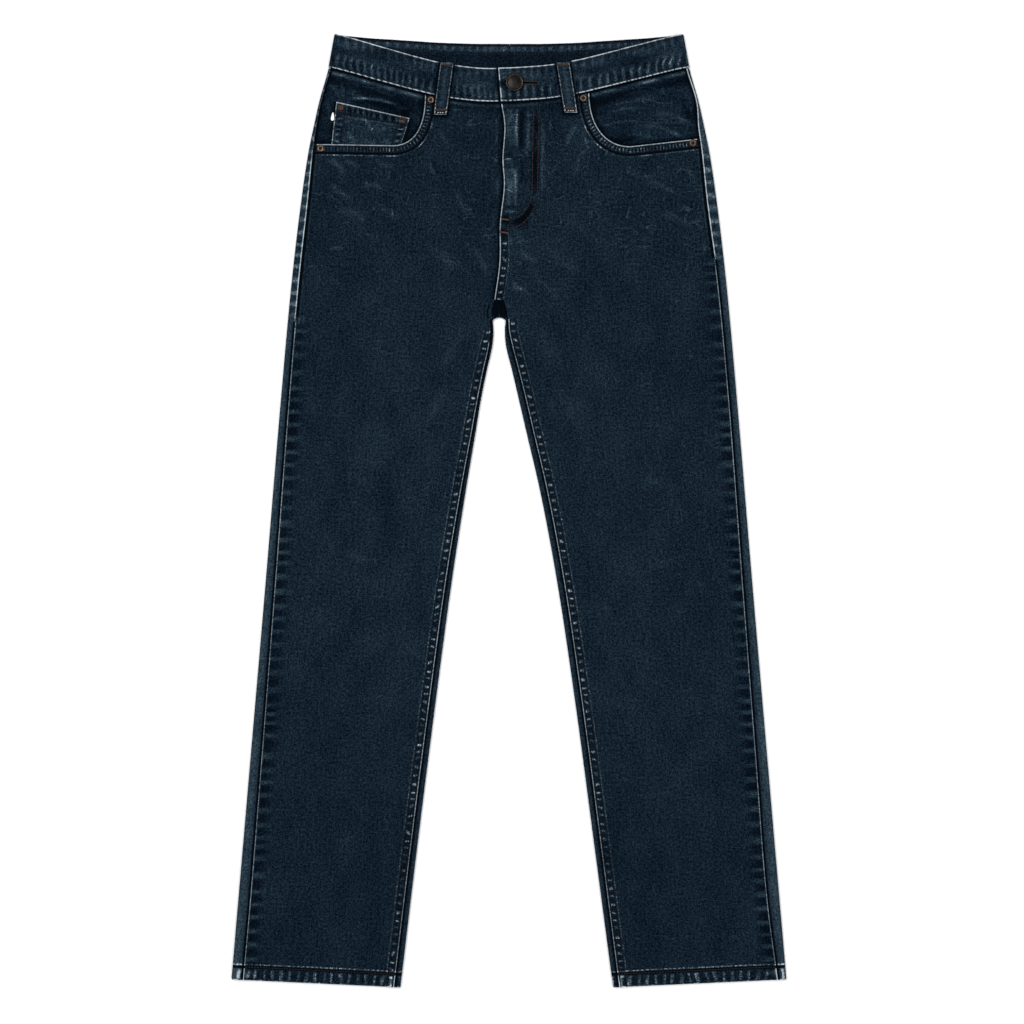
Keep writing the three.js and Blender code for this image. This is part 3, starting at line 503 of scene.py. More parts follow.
COIN_SHADES = table(
    STROKE,
    # painted shade down one side of the pocket, a dark tack, and the line pressed in over the pocket's top
    (-112.5, 448, -124, 398, 0, 5.2, -0.22),
    (-118, 454, -117, 444, 0, 4.6, -0.50),
    (-182, 465.5, -121, 456, 4, 1.3, 0.70),
    (-182, 460.5, -121, 451, 4, 3.2, -0.26),
    (-190, 490, -186, 462, 1, 1.0, 0.30),
    (-188.5, 494, -183.5, 462, 1, 1.4, -0.20),
)
COIN_CREASES = table(
    STROKE,
    (-172, 446, -156, 430, 4, 1.6, 0.30),
    (-160, 432, -146, 436, -3, 1.8, 0.22),
    (-150, 426, -136, 432, 2, 1.8, 0.24),
    (-182, 430, -170, 416, -3, 2.4, 0.24),
    (-166, 418, -148, 410, 2, 2.2, 0.18),
    (-142, 420, -134, 408, 2, 2.2, 0.20),
)
BUTTON_MARKS = table(
    PATCH,
    (-7, 481.5, 5, 1.6, 3, -0.45),
    (-3, 490, 3, 3, 3, 0.18),
    (-6, 470, 3, 4, 4, 0.12),
    (34, 478, 6, 4, 8, -0.14),
)
FLY_PATCHES = table(
    PATCH,
    (3.4, 434, 4.8, 19, 3.4, 0.26),
    (2.6, 366, 4.2, 19, 3, 0.40),
    (2.0, 346, 3.8, 4, 3, -0.10),
    (31, 419, 2.4, 11, 4, 0.22),
    (1.0, 328, 6, 4, 4, -0.16),
    (14, 326, 5, 6, 5, -0.14),
)
HIDDEN_CREASES = table(
    STROKE,
    (-180, 246, -120, 226, 6, 4.0, 0.30),
    (-170, 222, -104, 204, 7, 4.5, 0.24),
    (118, 248, 182, 224, -6, 4.0, 0.28),
    (96, 208, 168, 222, 6, 4.5, 0.24),
    (-60, 236, -30, 196, 6, 4.0, 0.26),
    (40, 238, 20, 198, -6, 4.0, 0.26),
    (-196, 20, -140, 8, 4, 5.0, 0.26),
    (-190, -10, -128, -2, -4, 5.0, 0.20),
    (136, 14, 200, 2, 4, 5.0, 0.26),
    (128, -14, 190, -8, -5, 5.0, 0.20),
    (-210, -120, -160, -140, 4, 5.0, 0.16),
    (160, -160, 214, -142, 4, 5.0, 0.16),
    (-60, 330, -24, 322, 3, 3.0, 0.20),
    (26, 336, 58, 326, 3, 3.0, 0.20),
)

# The part of the seat that shows in the corner of the crotch: its two ends in x, and its foot
SEAT_SHOWS, SEAT_SHOWN_FROM_Y = (-20.2, 30), 214
SEAT_LINES = (-11.2, -6.4)
# What differs between the sides: how far down the strip outside the outseam is the proud one, how
# far up the inseam is worn, the spacing of the waistband's crests, and the darker hip and facing
Worn = namedtuple("Worn", "strip_to inseam_to crests hip facing")
WORN = {"right": Worn(215, 207, 7.6, 0.055, 0.25), "left": Worn(284, 236, 9.0, 0.01, 0.19)}
FAR, NOWHERE = 40, 99


def crests(run, period, seed):
    """Worn crests along a seam, from 0 to 1, with darker cloth between them."""
    return ease((bars(run, period, seed) - 0.05) / 0.5)


def strip_proud(side, y):
    """1 where the strip outside the outseam is proud of the front, 0 below."""
    return ease((y - WORN[side.name].strip_to) / 26 + 0.5)


GRAIN = table("y centre", (240, 0), (125, 15), (-79, 40), (-282, 62), (-540, 88))
grain_centre = column(GRAIN, "centre")


def along_leg(x, y):
    """Across and along the cloth's grain, which turns out with each leg below the crotch."""
    return x - np.sign(x) * grain_centre(y), y


def band_end(w):
    """x of the end of the waistband's left half, from the waist edge to its seam."""
    return mix(CENTRE_FRONT, fly_x(BAND_FOOT_Y), w)


def beside_loop(side, x, y):
    """Distance sideways from a front belt loop."""
    top_x, top_y, low_x, low_y = FRONT_LOOPS[side.name]
    return np.maximum(0, abs(x - np.interp(y, (low_y, top_y), (low_x, top_x))) - LOOP_WIDTH / 2)


def swell(x, y, seed):
    """Low waves that cloth keeps when it is laid out by hand."""
    return (
        0.34 * noise(x / 62, y / 120, seed)
        + 0.17 * noise(x / 27, y / 46, seed + 1)
        + 0.07 * noise(x / 11, y / 15, seed + 2)
    )


def nearest(*edges):
    """How near the nearest of several worn edges is, and how bright that one has worn."""
    far, gain = edges[0]
    for other, other_gain in edges[1:]:
        nearer = other < far
        far, gain = np.where(nearer, other, far), np.where(nearer, other_gain, gain)
    return {"rim": closeness(far), "glint": gain + 0 * far}


def front_fields(side, x, y):
    """A leg front: crests inside its seams, creases, worn edges, and shade beside what lies on it."""
    worn_to = WORN[side.name]
    d_side, d_inner = from_side(side, x, y), from_inner(side, x, y)
    up, down = y - hem_line(side, x), across(FRONT_SEAM, x) - y
    d_mouth, run_mouth = mouth_distance(side, x, y)
    d_mouth = np.where(run_mouth > 0, d_mouth, NOWHERE)
    d_leg = np.where(y < SEAT_FOLD_Y, d_inner, NOWHERE)
    d_inseam = np.where(y < CROTCH_Y, d_inner, NOWHERE)
    near_leg = ease((INSEAM_STRAIGHT_Y + 30 - y) / 30)
    above = strip_proud(side, y)
    side_bar = (crests(y, 15.5, 13 + side.sign) - 0.56) * ease(1.2 - d_side / 17)
    side_bar = side_bar * ease((d_side - 0.6) / 2.2) * (1 - above) * (0.75 + 0.25 * noise(y / 40, 0.5, 17))
    hem_bar = bars(x, 9.6, 5) * ease((HEM_DEPTH - up) / 3) * ease(up / 3)
    inner_bar = bars(y, 9.2, 31 + side.sign) * near_leg * bump((d_inner - FELL / 2) / 7)
    creases = strokes(CREASES, x, y)
    away = ease((d_side - 4) / 16) * ease((d_inseam - 8) / 14) * ease((up - 14) / 20)
    relief = swell(x, y, 41) * away + 1.3 * creases + 0.5 * side_bar + 0.24 * hem_bar + 0.16 * inner_bar
    relief -= 0.22 * ridge(up - HEM_DEPTH + 1, 1.6)
    wear = 0.85 * side_bar + 1.35 * creases
    wear = wear + 0.05 * noise(x / 46, y / 80, 51) + 0.05 * noise(x / 17, y / 30, 52)
    wear -= 0.10 + 0.05 * ease((-200 - y) / 200) + worn_to.hip * ease((y - 210) / 90)
    # a pale line just under the waistband, then painted shade from the band further down
    below_band = (0.34 + 0.30 * noise(x / 9, y / 6, 57)) * bump((down - 4.6) / 2.6)
    wear += below_band - 0.22 * fall((down - 6) / 16) * (down > 6)
    wear += 0.36 * bump((d_side - 4.4) / 1.8) * above
    hem_ends = 0.55 * ease((17 - up) / 6) * fall(np.minimum(d_side, d_inner) / 12)
    wear += 0.10 * fall(d_side / 8) * (1 - near_leg) + hem_ends
    shade = np.minimum(down - GAP, np.where(above > 0.5, d_side - 1.1, NOWHERE))
    worn = ease((worn_to.inseam_to - y) / 24)
    edges = [(d_side, mix(0.80, 0, above)), (d_mouth, 0.95), (d_leg, 0.3 + 0.55 * worn)]
    felled = np.where(worn > 0.02, d_leg + 3 * (1 - worn), NOWHERE)
    in_rise = y > CROTCH_Y
    if side is LEFT:
        to_fly = x - fly_x(y)
        felled = np.where(in_rise & (y < RISE_ENDS[0]), to_fly, felled)
        edges.append((np.where(in_rise, to_fly, NOWHERE), 0.95))
        rise = bump((to_fly - 5) / 7) * ease((312 - y) / 6) * ease((y - CROTCH_Y) / 4)
        relief += 0.35 * rise
        rough = 0.7 + 0.5 * noise(x / 4, y / 6, 53)
        wear += 1.5 * (strokes(FLY_MARKS, x, y) + rough * patches(FLY_PATCHES, x, y)) - 0.08 * rise
    else:
        to_fly = fly_x(y) - x
        wear += strokes(FLY_MARKS, x, y) * (to_fly > 0)
        shade = np.minimum(shade, np.where(in_rise, np.maximum(to_fly, 0), NOWHERE))
    below_loop = np.maximum(0, FRONT_LOOPS[side.name][3] - y)
    shade = np.minimum(shade, np.hypot(beside_loop(side, x, y), below_loop) + 0.3)
    return {
        "relief": relief,
        "wear": wear,
        **nearest(*edges),
        "broken": 0 * x,
        "shade": closeness(shade),
        "creased": 0.40 + 0.60 * ease((y - 230) / 100),
        "mouth": closeness(d_mouth),
        "mouth_run": run_mouth,
        "fell": closeness(felled),
        "hem": closeness(up),
    }


def closeness(distance):
    """How near a seam is, so that cloth with no such seam can hold nothing at all."""
    return np.clip(FAR - np.maximum(distance, 0), 0, FAR)


def hem_line(side, x):
    """Height of the leg's lower edge at x."""
    outer = half_width(HEM_Y)
    inner = half_gap(HEM_Y + HEM_SLANT) + side.sign * middle(HEM_Y + HEM_SLANT)
    return HEM_Y + HEM_SLANT * np.clip((outer - side.sign * x) / (outer - inner), 0, 1)


# ---- Points of the sheets ----

SIDE_STEPS = np.array([0, 0.4, 1.2, 2.4, 4, 6, 8.5, 11.5])
INNER_STEPS = np.array([14, 11.6, 10.2, 9.4, 8.4, 7, 5.5, 4, 2.5, 1.2, 0.4, 0])
FLAP_STEPS = np.array([1.5, 3, 5, 7, 8.5, 9.6, 10.1, 10.5])
EDGE_STEPS = np.array([0, 0.4, 1.2, 2.5, 4, 5.5, 7, 8.6, 9.3, 10, 10.6])
HEM_STEPS = np.array([16.6, 16, 15.3, 14, 12, 9.5, 7, 4.5, 2.2, 1, 0.4, 0])
TO_CORNER, PAST_CORNER = 46, 20


def unit(vectors):
    """Vectors made 1 long."""
    return vectors / np.linalg.norm(vectors, axis=-1, keepdims=True)


def run_of(points):
    """Distance along a line of points."""
    return join([[0], np.cumsum(np.linalg.norm(np.diff(points, axis=0), axis=1))])


def at_run(points, run):
    """Points at given distances along a line of points."""
    along = run_of(points)
    return np.stack([np.interp(run, along, points[:, k]) for k in range(points.shape[1])], -1)


def seam_x(side, y):
    """x of a front's outer edge."""
    return side.sign * (half_width(y) - OUTSEAM[side.name](y) - GAP)


def mouth_curve(side):
    """The pocket mouth from the outseam to the waistband."""
    m = MOUTHS[side.name]
    top = np.array([m.top_x, across(FRONT_SEAM, m.top_x) - GAP])
    belly = np.array([m.belly_x, m.belly_y])
    level = np.array([mix(m.belly_x, m.top_x, m.corner), m.belly_y])
    rising = np.array([m.top_x, mix(top[1], m.belly_y, m.corner)])
    start = np.array([seam_x(side, m.side_y), m.side_y])
    s, t = np.linspace(0, 1, 40)[:-1, None], np.linspace(0, 1, 120)[:, None]
    curve = (1 - t) ** 3 * belly + 3 * (1 - t) ** 2 * t * level + 3 * (1 - t) * t**2 * rising + t**3 * top
    return join([start + (belly - start) * s, curve])


MOUTH_CURVES = {side.name: mouth_curve(side) for side in (RIGHT, LEFT)}


def offset_mouth(side, down):
    """The mouth moved into the front, from the outseam to the corner with the waist edge."""
    curve = MOUTH_CURVES[side.name]
    tangent = unit(np.gradient(curve, axis=0))
    line = curve + down * side.sign * points_of(-tangent[:, 1], tangent[:, 0])
    corner = MOUTHS[side.name].top_x - side.sign * down
    corner = np.array([corner, across(FRONT_SEAM, corner) - GAP - down])
    line = join([line[line[:, 1] < corner[1] - 0.1], corner[None]])
    line[0, 0] = seam_x(side, line[0, 1])
    return line


def mouth_distance(side, x, y):
    """Distance from the pocket mouth and how far along it: positive inside the front."""
    curve = MOUTH_CURVES[side.name][::3]
    a, b = curve[:-1], curve[1:]
    along = run_of(curve)
    best, run, turn = np.full(x.shape, 1e3), np.zeros(x.shape), np.ones(x.shape)
    for k in range(len(a)):
        step = b[k] - a[k]
        dx, dy = x - a[k, 0], y - a[k, 1]
        t = np.clip((dx * step[0] + dy * step[1]) / step.dot(step), 0, 1)
        far = np.hypot(dx - t * step[0], dy - t * step[1])
        nearer = far < best
        best = np.where(nearer, far, best)
        run = np.where(nearer, along[k] + t * np.hypot(*step), run)
        turn = np.where(nearer, np.sign(side.sign * (step[0] * dy - step[1] * dx)), turn)
    return best * turn, run


def front_inner_x(side, y):
    """x of a front's inner edge above the crotch."""
    if side is LEFT:
        return fly_x(y) + FLY_FLAP
    return fly_x(y) + FLY_UNDER * ease((y - CROTCH_Y - 2) / 8) - GAP / 3


def outer_edge(side, y):
    """The fold down the outside of a leg."""
    return points_of(side.sign * half_width(y), y)


def station(edge, towards, seam_in):
    """A folded edge, the direction into the cloth, and how far in its seam lies."""
    return edge, unit(towards - edge), seam_in


def leg_stations(side, y, slant):
    """Outer and inner folds of a leg, for sections that meet the outer edge at y."""
    inner_y = y + slant
    outer = outer_edge(side, y)
    inner = points_of(middle(inner_y) + side.sign * half_gap(inner_y), inner_y)
    towards = unit(inner - outer)
    return (outer, towards, OUTSEAM[side.name](y)), (inner, -towards, INSEAM[side.name](inner_y))


def leg_heights():
    """Heights of a leg's sections at the outer edge, and how much lower each ends at the inner edge."""
    y = join([np.arange(LEG_TOP_Y, HEM_Y + 18, -LEG_STEP), HEM_Y + HEM_STEPS])
    return y, HEM_SLANT * np.clip((INSEAM_STRAIGHT_Y - y) / (INSEAM_STRAIGHT_Y - HEM_Y), 0, 1)


def corner_stations(side, turns):
    """Folds of the sections that end on the rounded fold of the seat between the legs."""
    turn = np.radians(turns)
    a, b = SEAT_CORNER
    x = middle(SEAT_FOLD_Y) + side.sign * np.maximum(GAP / 2, a * np.cos(turn))
    edge = points_of(x, SEAT_FOLD_Y - b + b * np.sin(turn))
    inward = unit(points_of(side.sign * np.cos(turn) / a, np.sin(turn) / b))
    out, seam_y, outer_y = (
        np.interp(turns, SEAT_SEAM["turn"], SEAT_SEAM[key]) for key in ("out", "y", "outer")
    )
    seam = points_of(middle(seam_y) + side.sign * out, seam_y)
    outer = outer_edge(side, outer_y)
    inner = (edge, inward, np.linalg.norm(seam - edge, axis=-1))
    return (outer, unit(edge - outer), OUTSEAM[side.name](outer_y)), inner, seam


def front_row(start, corner, end):
    """Places of a front's columns along rows given by three points, in millimetres from the start."""
    length, at = np.linalg.norm(end - start, axis=-1), np.linalg.norm(corner - start, axis=-1)
    to_corner = SIDE_STEPS[-1] + (at[:, None] - SIDE_STEPS[-1]) * spaced(0, 1, TO_CORNER)[1:]
    past = at[:, None] + (length - INNER_STEPS[0] - at)[:, None] * spaced(0, 1, PAST_CORNER)[1:-1]
    sides = np.broadcast_to(SIDE_STEPS, (len(start), len(SIDE_STEPS)))
    return join([sides, to_corner, past, length[:, None] - INNER_STEPS], 1)


def straight_rows(start, end):
    """Rows of a front that run straight from its outer edge to its inner edge."""
    places = front_row(start, mix(start, end, MOUTH_SHARE), end)
    return start[:, None] + unit(end - start)[:, None] * places[..., None]


def top_row(side, down):
    """A row along the pocket mouth and the waist edge."""
    mouth = offset_mouth(side, down)
    corner = mouth[-1]
    end_y = across(FRONT_SEAM, CENTRE_FRONT) - GAP - down
    waist_x = np.linspace(corner[0], front_inner_x(side, end_y), 60)
    waist = points_of(waist_x, across(FRONT_SEAM, waist_x) - GAP - down)
    line = join([mouth, waist[1:]])
    at, length = run_of(mouth)[-1], run_of(line)[-1]
    to_corner = SIDE_STEPS[-1] + (at - SIDE_STEPS[-1]) * spaced(0, 1, TO_CORNER)[1:]
    past = at + (length - INNER_STEPS[0] - at) * spaced(0, 1, PAST_CORNER)[1:-1]
    return at_run(line, join([SIDE_STEPS, to_corner, past, length - INNER_STEPS]))


def settle_ends(side, rows):
    """Moves a row's ends onto the outseam and the fly, easing out over the columns between."""
    columns = rows.shape[1]
    corner = len(SIDE_STEPS) + TO_CORNER - 1
    inner = columns - len(INNER_STEPS)
    k = np.arange(columns)
    outer_part = 1 - ease((k - len(SIDE_STEPS) + 1) / TO_CORNER)
    inner_part = ease((k - corner) / (inner - corner))
    outer_slip = seam_x(side, rows[:, 0, 1]) - rows[:, 0, 0]
    inner_slip = front_inner_x(side, rows[:, -1, 1]) - rows[:, -1, 0]
    rows[..., 0] += outer_slip[:, None] * outer_part + inner_slip[:, None] * inner_part
    return rows


def front_points(side):
    """Rows of points of a leg front, which part of each row is kept, and how thick it is."""
    hip_start = np.array([[seam_x(side, HIP_Y), HIP_Y]])
    hip = straight_rows(hip_start, np.array([[front_inner_x(side, HIP_Y), HIP_Y]]))[0]
    tops = np.array([top_row(side, down) for down in EDGE_STEPS])
    towards = spaced(0, 1, 66)[1:, None, None]
    upper = settle_ends(side, join([tops, mix(tops[-1], hip, towards)]))
    y = spaced(HIP_Y, CROTCH_Y + GAP, 56)[1:]
    outer_y = mix(HIP_Y, CROTCH_OUTER_Y, (HIP_Y - y) / (HIP_Y - CROTCH_Y - GAP))
    end = points_of(front_inner_x(side, y), y)
    outer = outer_edge(side, outer_y)
    start = outer + unit(end - outer) * (OUTSEAM[side.name](outer_y) + GAP)[:, None]
    # down the crotch to the inseam
    (corner_outer, towards_inner, reach), _, seam = corner_stations(side, np.array([30, 0]))
    a = corner_outer + towards_inner * (reach + GAP)[:, None]
    b = seam - towards_inner * GAP
    stations = leg_stations(side, *leg_heights())
    leg_a, leg_b = (edge + inward * (reach + GAP)[:, None] for edge, inward, reach in stations)
    steps = join([spaced(0, 1, 5)[1:], 1 + spaced(0, 1, 6)[1:], 2 + spaced(0, 1, 3)[1:-1]])
    turn_a, turn_b = (
        np.stack([np.interp(steps, range(4), [*v]) for v in np.stack([above[-1], *corner, leg[0]]).T], -1)
        for above, corner, leg in ((start, a, leg_a), (end, b, leg_b))
    )
    lower = straight_rows(join([start, turn_a, leg_a]), join([end, turn_b, leg_b]))
    rows = join([upper, lower])
    count, columns = rows.shape[:2]
    above = len(upper) + len(y)
    thick = np.full((count, columns), CLOTH)
    corner = len(SIDE_STEPS) + TO_CORNER
    thick[: np.sum(EDGE_STEPS <= 9), :corner] += MOUTH_RISE
    thick[above:, -np.sum(INNER_STEPS <= FELL) :] += FELL_RISE
    thick[-np.sum(HEM_STEPS <= HEM_DEPTH) :] += HEM - CLOTH
    keep = np.ones((count, columns), bool)
    if side is LEFT:
        flap = rows[:, -1:] - points_of(FLAP_STEPS, 0)
        rows = join([rows, flap], 1)
        thick = join([thick, np.full((count, len(FLAP_STEPS)), CLOTH)], 1)
        keep = join([keep, np.repeat(np.arange(count)[:, None] < above, len(FLAP_STEPS), 1)], 1)
    return rows, keep, thick


def front_heights(side, x, y, thick):
    """Underside of a front, raised at the hem, where the cloth is turned under."""
    low = front_low(side, x, y) + fly_lift(side, x, y)
    hemmed = thick >= HEM
    return np.where(hemmed, np.maximum(low - (HEM - CLOTH) * 0.75, HEM + GAP), low)


def fold_profile(reach, height, thick, count=9):
    """Round a folded edge, from its seam on top to the lower layer.

    Gives the run from the seam, and the distance in from the edge and the height of both faces.
    """
    radius = height / 2
    level = np.maximum(0, reach - radius)
    start = np.arccos(np.maximum(0, 1 - reach / radius))
    total = level + radius * (start + np.pi / 2)
    first = np.array([0, 0.4, 1.2, 2.4])
    rest_of = first[-1] + (total[:, None] - first[-1]) * spaced(0, 1, count)[1:]
    run = join([np.broadcast_to(first, (len(reach), len(first))), rest_of], 1)
    angle = start[:, None] - np.maximum(0, run - level[:, None]) / radius
    beyond = np.maximum(0, level[:, None] - run)
    faces = []
    for r in (radius, radius - thick):
        faces.append((radius - r * np.cos(angle) + beyond, radius + r * np.sin(angle)))
    return run, *faces


def folded(edge_station, height, thick):
    """Outer and inner points round a folded edge, and the distance of each from the seam."""
    edge, inward, reach = edge_station
    run, *faces = fold_profile(reach, height, thick)
    grids = [
        join([edge[:, None] + inward[:, None] * q[..., None], z[..., None]], -1) for q, z in faces
    ]
    return grids, run


def under_points(start, end, steps, thick):
    """Points of the lower layer between two ends."""
    xy = start[:, None] + (end - start)[:, None] * steps[:, None]
    low = rest(xy[..., 0], xy[..., 1])[..., None]
    thick = np.broadcast_to(np.asarray(thick, float).reshape(-1, 1, 1), low.shape)
    return join([xy, low], -1), join([xy, low + thick], -1)


UNDER_STEPS = graded(0.012, 0.03, (0.05, 0.95, 36), 0.97, 0.988)


def thick_grid(grids, thick):
    """Moves the inner points of a fold away from the outer ones where the cloth is thicker."""
    outer, inner = grids
    return outer, outer + (inner - outer) * (thick / CLOTH)[:, None, None]


def back_points(side):
    """Rows of points of a leg back, round its folds, with the distance from the seams on top."""
    control = table(
        "outer inner",
        (YOKE_SIDE_Y - GAP, float(yoke_seam(np.array(CENTRE_BACK - 0.001)) - GAP)),
        (440, 400),
        (420, 382),
        (398, 362),
        (374, 342),
        (348, 320),
        (322, 298),
        (298, 276),
        (276, 250),
        (260, SEAT_FOLD_Y + FOLD / 2),
    )
    k = spaced(0, 9, 100)
    outer_y, inner_y = (np.interp(k, range(10), control[key]) for key in ("outer", "inner"))
    end = points_of(centre_back(inner_y) + side.sign * GAP / 2, inner_y)
    outer = outer_edge(side, outer_y)
    seat_out = station(outer, end, OUTSEAM[side.name](outer_y))
    corner_out, corner_in, _ = corner_stations(side, np.linspace(90, 0, 22))
    leg_y, slant = leg_heights()
    leg_out, leg_in = leg_stations(side, leg_y, slant)
    # a few sections between the corner and the leg
    share = spaced(0, 1, 4)[1:-1, None]
    between = [
        tuple(mix(a[-1:], b[:1], share if a.ndim > 1 else share[:, 0]) for a, b in zip(c, leg))
        for c, leg in ((corner_out, leg_out), (corner_in, leg_in))
    ]
    outers = [join(v) for v in zip(seat_out, corner_out, between[0], leg_out)]
    inners = [join(v) for v in zip(corner_in, between[1], leg_in)]
    seats, count = len(outer_y), len(outers[0])
    thick = np.full(count, CLOTH)
    thick[-np.sum(HEM_STEPS <= HEM_DEPTH) :] = HEM
    (out_a, in_a), run_a = folded(outers, FOLD, CLOTH)
    (out_b, in_b), run_b = folded(inners, FOLD, CLOTH)
    out_a, in_a = thick_grid((out_a, in_a), thick)
    out_b, in_b = thick_grid((out_b, in_b), thick[seats:])
    out_b, in_b, run_b = out_b[:, ::-1], in_b[:, ::-1], run_b[:, ::-1]
    ends = join([end, out_b[:, 0, :2]])
    out_low, in_low = under_points(out_a[:, -1, :2], ends, UNDER_STEPS, thick)
    out_end, in_end = under_points(ends, ends, np.array([0.0]), thick)
    out_end[seats:], in_end[seats:] = out_b[:, :1], in_b[:, :1]
    first = out_low[0, :, :2]
    out_low[0, :, 1] = in_low[0, :, 1] = yoke_seam(first[:, 0]) - GAP
    blank = np.zeros((seats, out_b.shape[1] - 1, 3))
    outer = join([out_a, out_low, out_end, join([blank, out_b[:, 1:]])], 1)
    inner = join([in_a, in_low, in_end, join([blank, in_b[:, 1:]])], 1)
    keep = np.ones(outer.shape[:2], bool)
    keep[:seats, -blank.shape[1] :] = False
    far = np.full((count, out_low.shape[1] + 1), float(FAR))
    run_in = join([np.full((seats, blank.shape[1]), float(FAR)), run_b[:, 1:]])
    run_out = join([run_a, far, np.full(run_in.shape, float(FAR))], 1)
    run_in = join([np.full(run_a.shape, float(FAR)), far, run_in], 1)
    return outer, inner, keep, run_out, run_in


def yoke_points(side):
    """Rows of points of the yoke, from the waistband seam down to the yoke seam, round its fold."""
    down = np.unique(join([spaced(0, 0.05, 3), spaced(0.05, 0.8, 20), spaced(0.8, 1, 14)]))
    outer_y = mix(BACK_SEAM.side - 4 * GAP, YOKE_SIDE_Y, down)
    top = float(across(BACK_SEAM, CENTRE_BACK)) - GAP
    inner_y = mix(top, float(yoke_seam(np.array(CENTRE_BACK - 0.001))), down)
    end = points_of(centre_back(inner_y) + side.sign * GAP / 2, inner_y)
    edge = station(outer_edge(side, outer_y), end, OUTSEAM[side.name](outer_y))
    (out_a, in_a), run = folded(edge, FOLD, CLOTH)
    steps = join([UNDER_STEPS, [1]])
    x = mix(out_a[:, -1:, 0], end[:, :1], steps)
    y = mix(across(BACK_SEAM, x) - GAP, yoke_seam(x), down[:, None])
    low = rest(x, y)
    out_low, in_low = points_of(x, y, low), points_of(x, y, low + CLOTH)
    run_out = join([run, np.full(x.shape, float(FAR))], 1)
    return join([out_a, out_low], 1), join([in_a, in_low], 1), run_out


def band_points(side):
    """Points of half the waistband: the front layer, round the side and the back layer."""
    sign, radius = side.sign, BAND_FOLD / 2
    w = graded(0, 0.012, 0.035, 0.06, 0.1, (0.16, 0.84, 15), 0.88, 0.91, 0.935, 0.95, 0.968, 0.988, 1)
    end_x = band_end(w) if side is LEFT else np.full(len(w), UNDERLAP_END)
    fold_x = sign * (mix(FRONT_TOP.half, FRONT_SEAM.half, w) - radius)
    q = graded(1, 0.998, 0.994, 0.986, (0.97, 0, 112))
    x = mix(fold_x[:, None], end_x[:, None], q)
    y = mix(across(FRONT_TOP, x), across(FRONT_SEAM, x), w[:, None])
    low = band_low(side, x)
    front = points_of(x, y, low + BAND), points_of(x, y, low)
    angle = np.pi / 2 - spaced(0, 1, 10)[1:-1] * np.pi
    side_y = mix(FRONT_TOP.side, FRONT_SEAM.side, w)
    turn = []
    for r in (radius, radius - BAND):
        turn_x = fold_x[:, None] + sign * r * np.cos(angle)
        turn.append(points_of(turn_x, side_y[:, None], radius + r * np.sin(angle)))
    q = graded((0, 0.97, 112), 0.986, 0.994, 1)
    x = mix(fold_x[:, None], CENTRE_BACK + sign * GAP / 2, q)
    y = mix(across(BACK_TOP, x), across(BACK_SEAM, x), w[:, None])
    low = rest(x, np.full_like(x, BAND_Y))
    back = points_of(x, y, low), points_of(x, y, low + BAND)
    return tuple(join([front[k], turn[k], back[k]], 1) for k in (0, 1))


def facing_points(side):
    """Points of the cloth behind a pocket mouth."""
    m = MOUTHS[side.name]
    share = spaced(0, 1, 60)
    top_x = mix(seam_x(side, 500), m.top_x, share)
    top = points_of(top_x, across(FRONT_SEAM, top_x) - GAP)
    curve = MOUTH_CURVES[side.name]
    tangent = unit(np.gradient(curve, axis=0))
    line = curve + FACING_PAST_MOUTH * side.sign * points_of(-tangent[:, 1], tangent[:, 0])
    line = at_run(line, share * run_of(line)[-1])
    line[:, 1] = np.minimum(line[:, 1], across(FRONT_SEAM, line[:, 0]) - GAP)
    rows = mix(top, line, spaced(0, 1, 56)[:, None, None])
    rows[:, 0, 0] = seam_x(side, rows[:, 0, 1])
    return rows


def coin_points():
    """Points of the coin pocket; its top edge is turned and thicker."""
    u = graded(0, 0.006, 0.016, 0.03, (0.05, 0.95, 44), 0.97, 0.984, 0.994, 1)
    v = graded(0, 0.01, 0.03, 0.06, (0.08, 0.17, 6), 0.185, (0.2, 1, 26))
    (a, b), (c, d) = (np.array(COIN[key], float) for key in ("top", "low"))
    top, low = a + (b - a) * u[:, None], c + (d - c) * u[:, None]
    rows = mix(top, low, v[:, None, None])
    return rows, np.where(v < 0.18, COIN["thick"] + 0.3, COIN["thick"])[:, None] + 0 * rows[..., 0], (u, v)


def pocket_points(side):
    """Points of a back pocket, five-cornered, under the seat."""
    half, tip, taper = POCKET["width"] / 2, POCKET["tip"], POCKET["taper"]
    straight = POCKET["height"] - tip
    u = np.sort(join([spaced(-1, 1, 50), [-0.994, -0.98, -0.965, 0.965, 0.98, 0.994]]))
    v = np.sort(join([spaced(0, 1, 56), [0.003, 0.01, 0.99, 0.997]]))
    x = u * (half - taper * np.minimum(1, v * POCKET["height"] / straight)[:, None])
    bottom = straight + tip * (1 - abs(u))
    y = -v[:, None] * bottom
    turn = side.sign * POCKET["tilt"]
    place_x = side.sign * POCKET["x"] + x * math.cos(turn) - y * math.sin(turn)
    place_y = POCKET["top"] + x * math.sin(turn) + y * math.cos(turn)
    edge = np.minimum((1 - abs(u)) * half, np.minimum(-y, (bottom + y) * 0.95))
    return points_of(place_x, place_y), edge, -y


def loop_ground(side, x, y):
    """Top of the cloth that a front belt loop lies on."""
    seam = across(FRONT_SEAM, x)
    panel = front_low(side, x, np.minimum(y, seam)) + fly_lift(side, x, y) + CLOTH + MOUTH_RISE
    return mix(panel, band_low(side, x) + BAND, ease((y - seam + 14) / 13))


def loop_width_steps(count):
    """Steps across a belt loop, finer at its two edges."""
    return graded(-0.5, -0.485, -0.455, -0.42, (-0.38, 0.38, count), 0.42, 0.455, 0.485, 0.5)


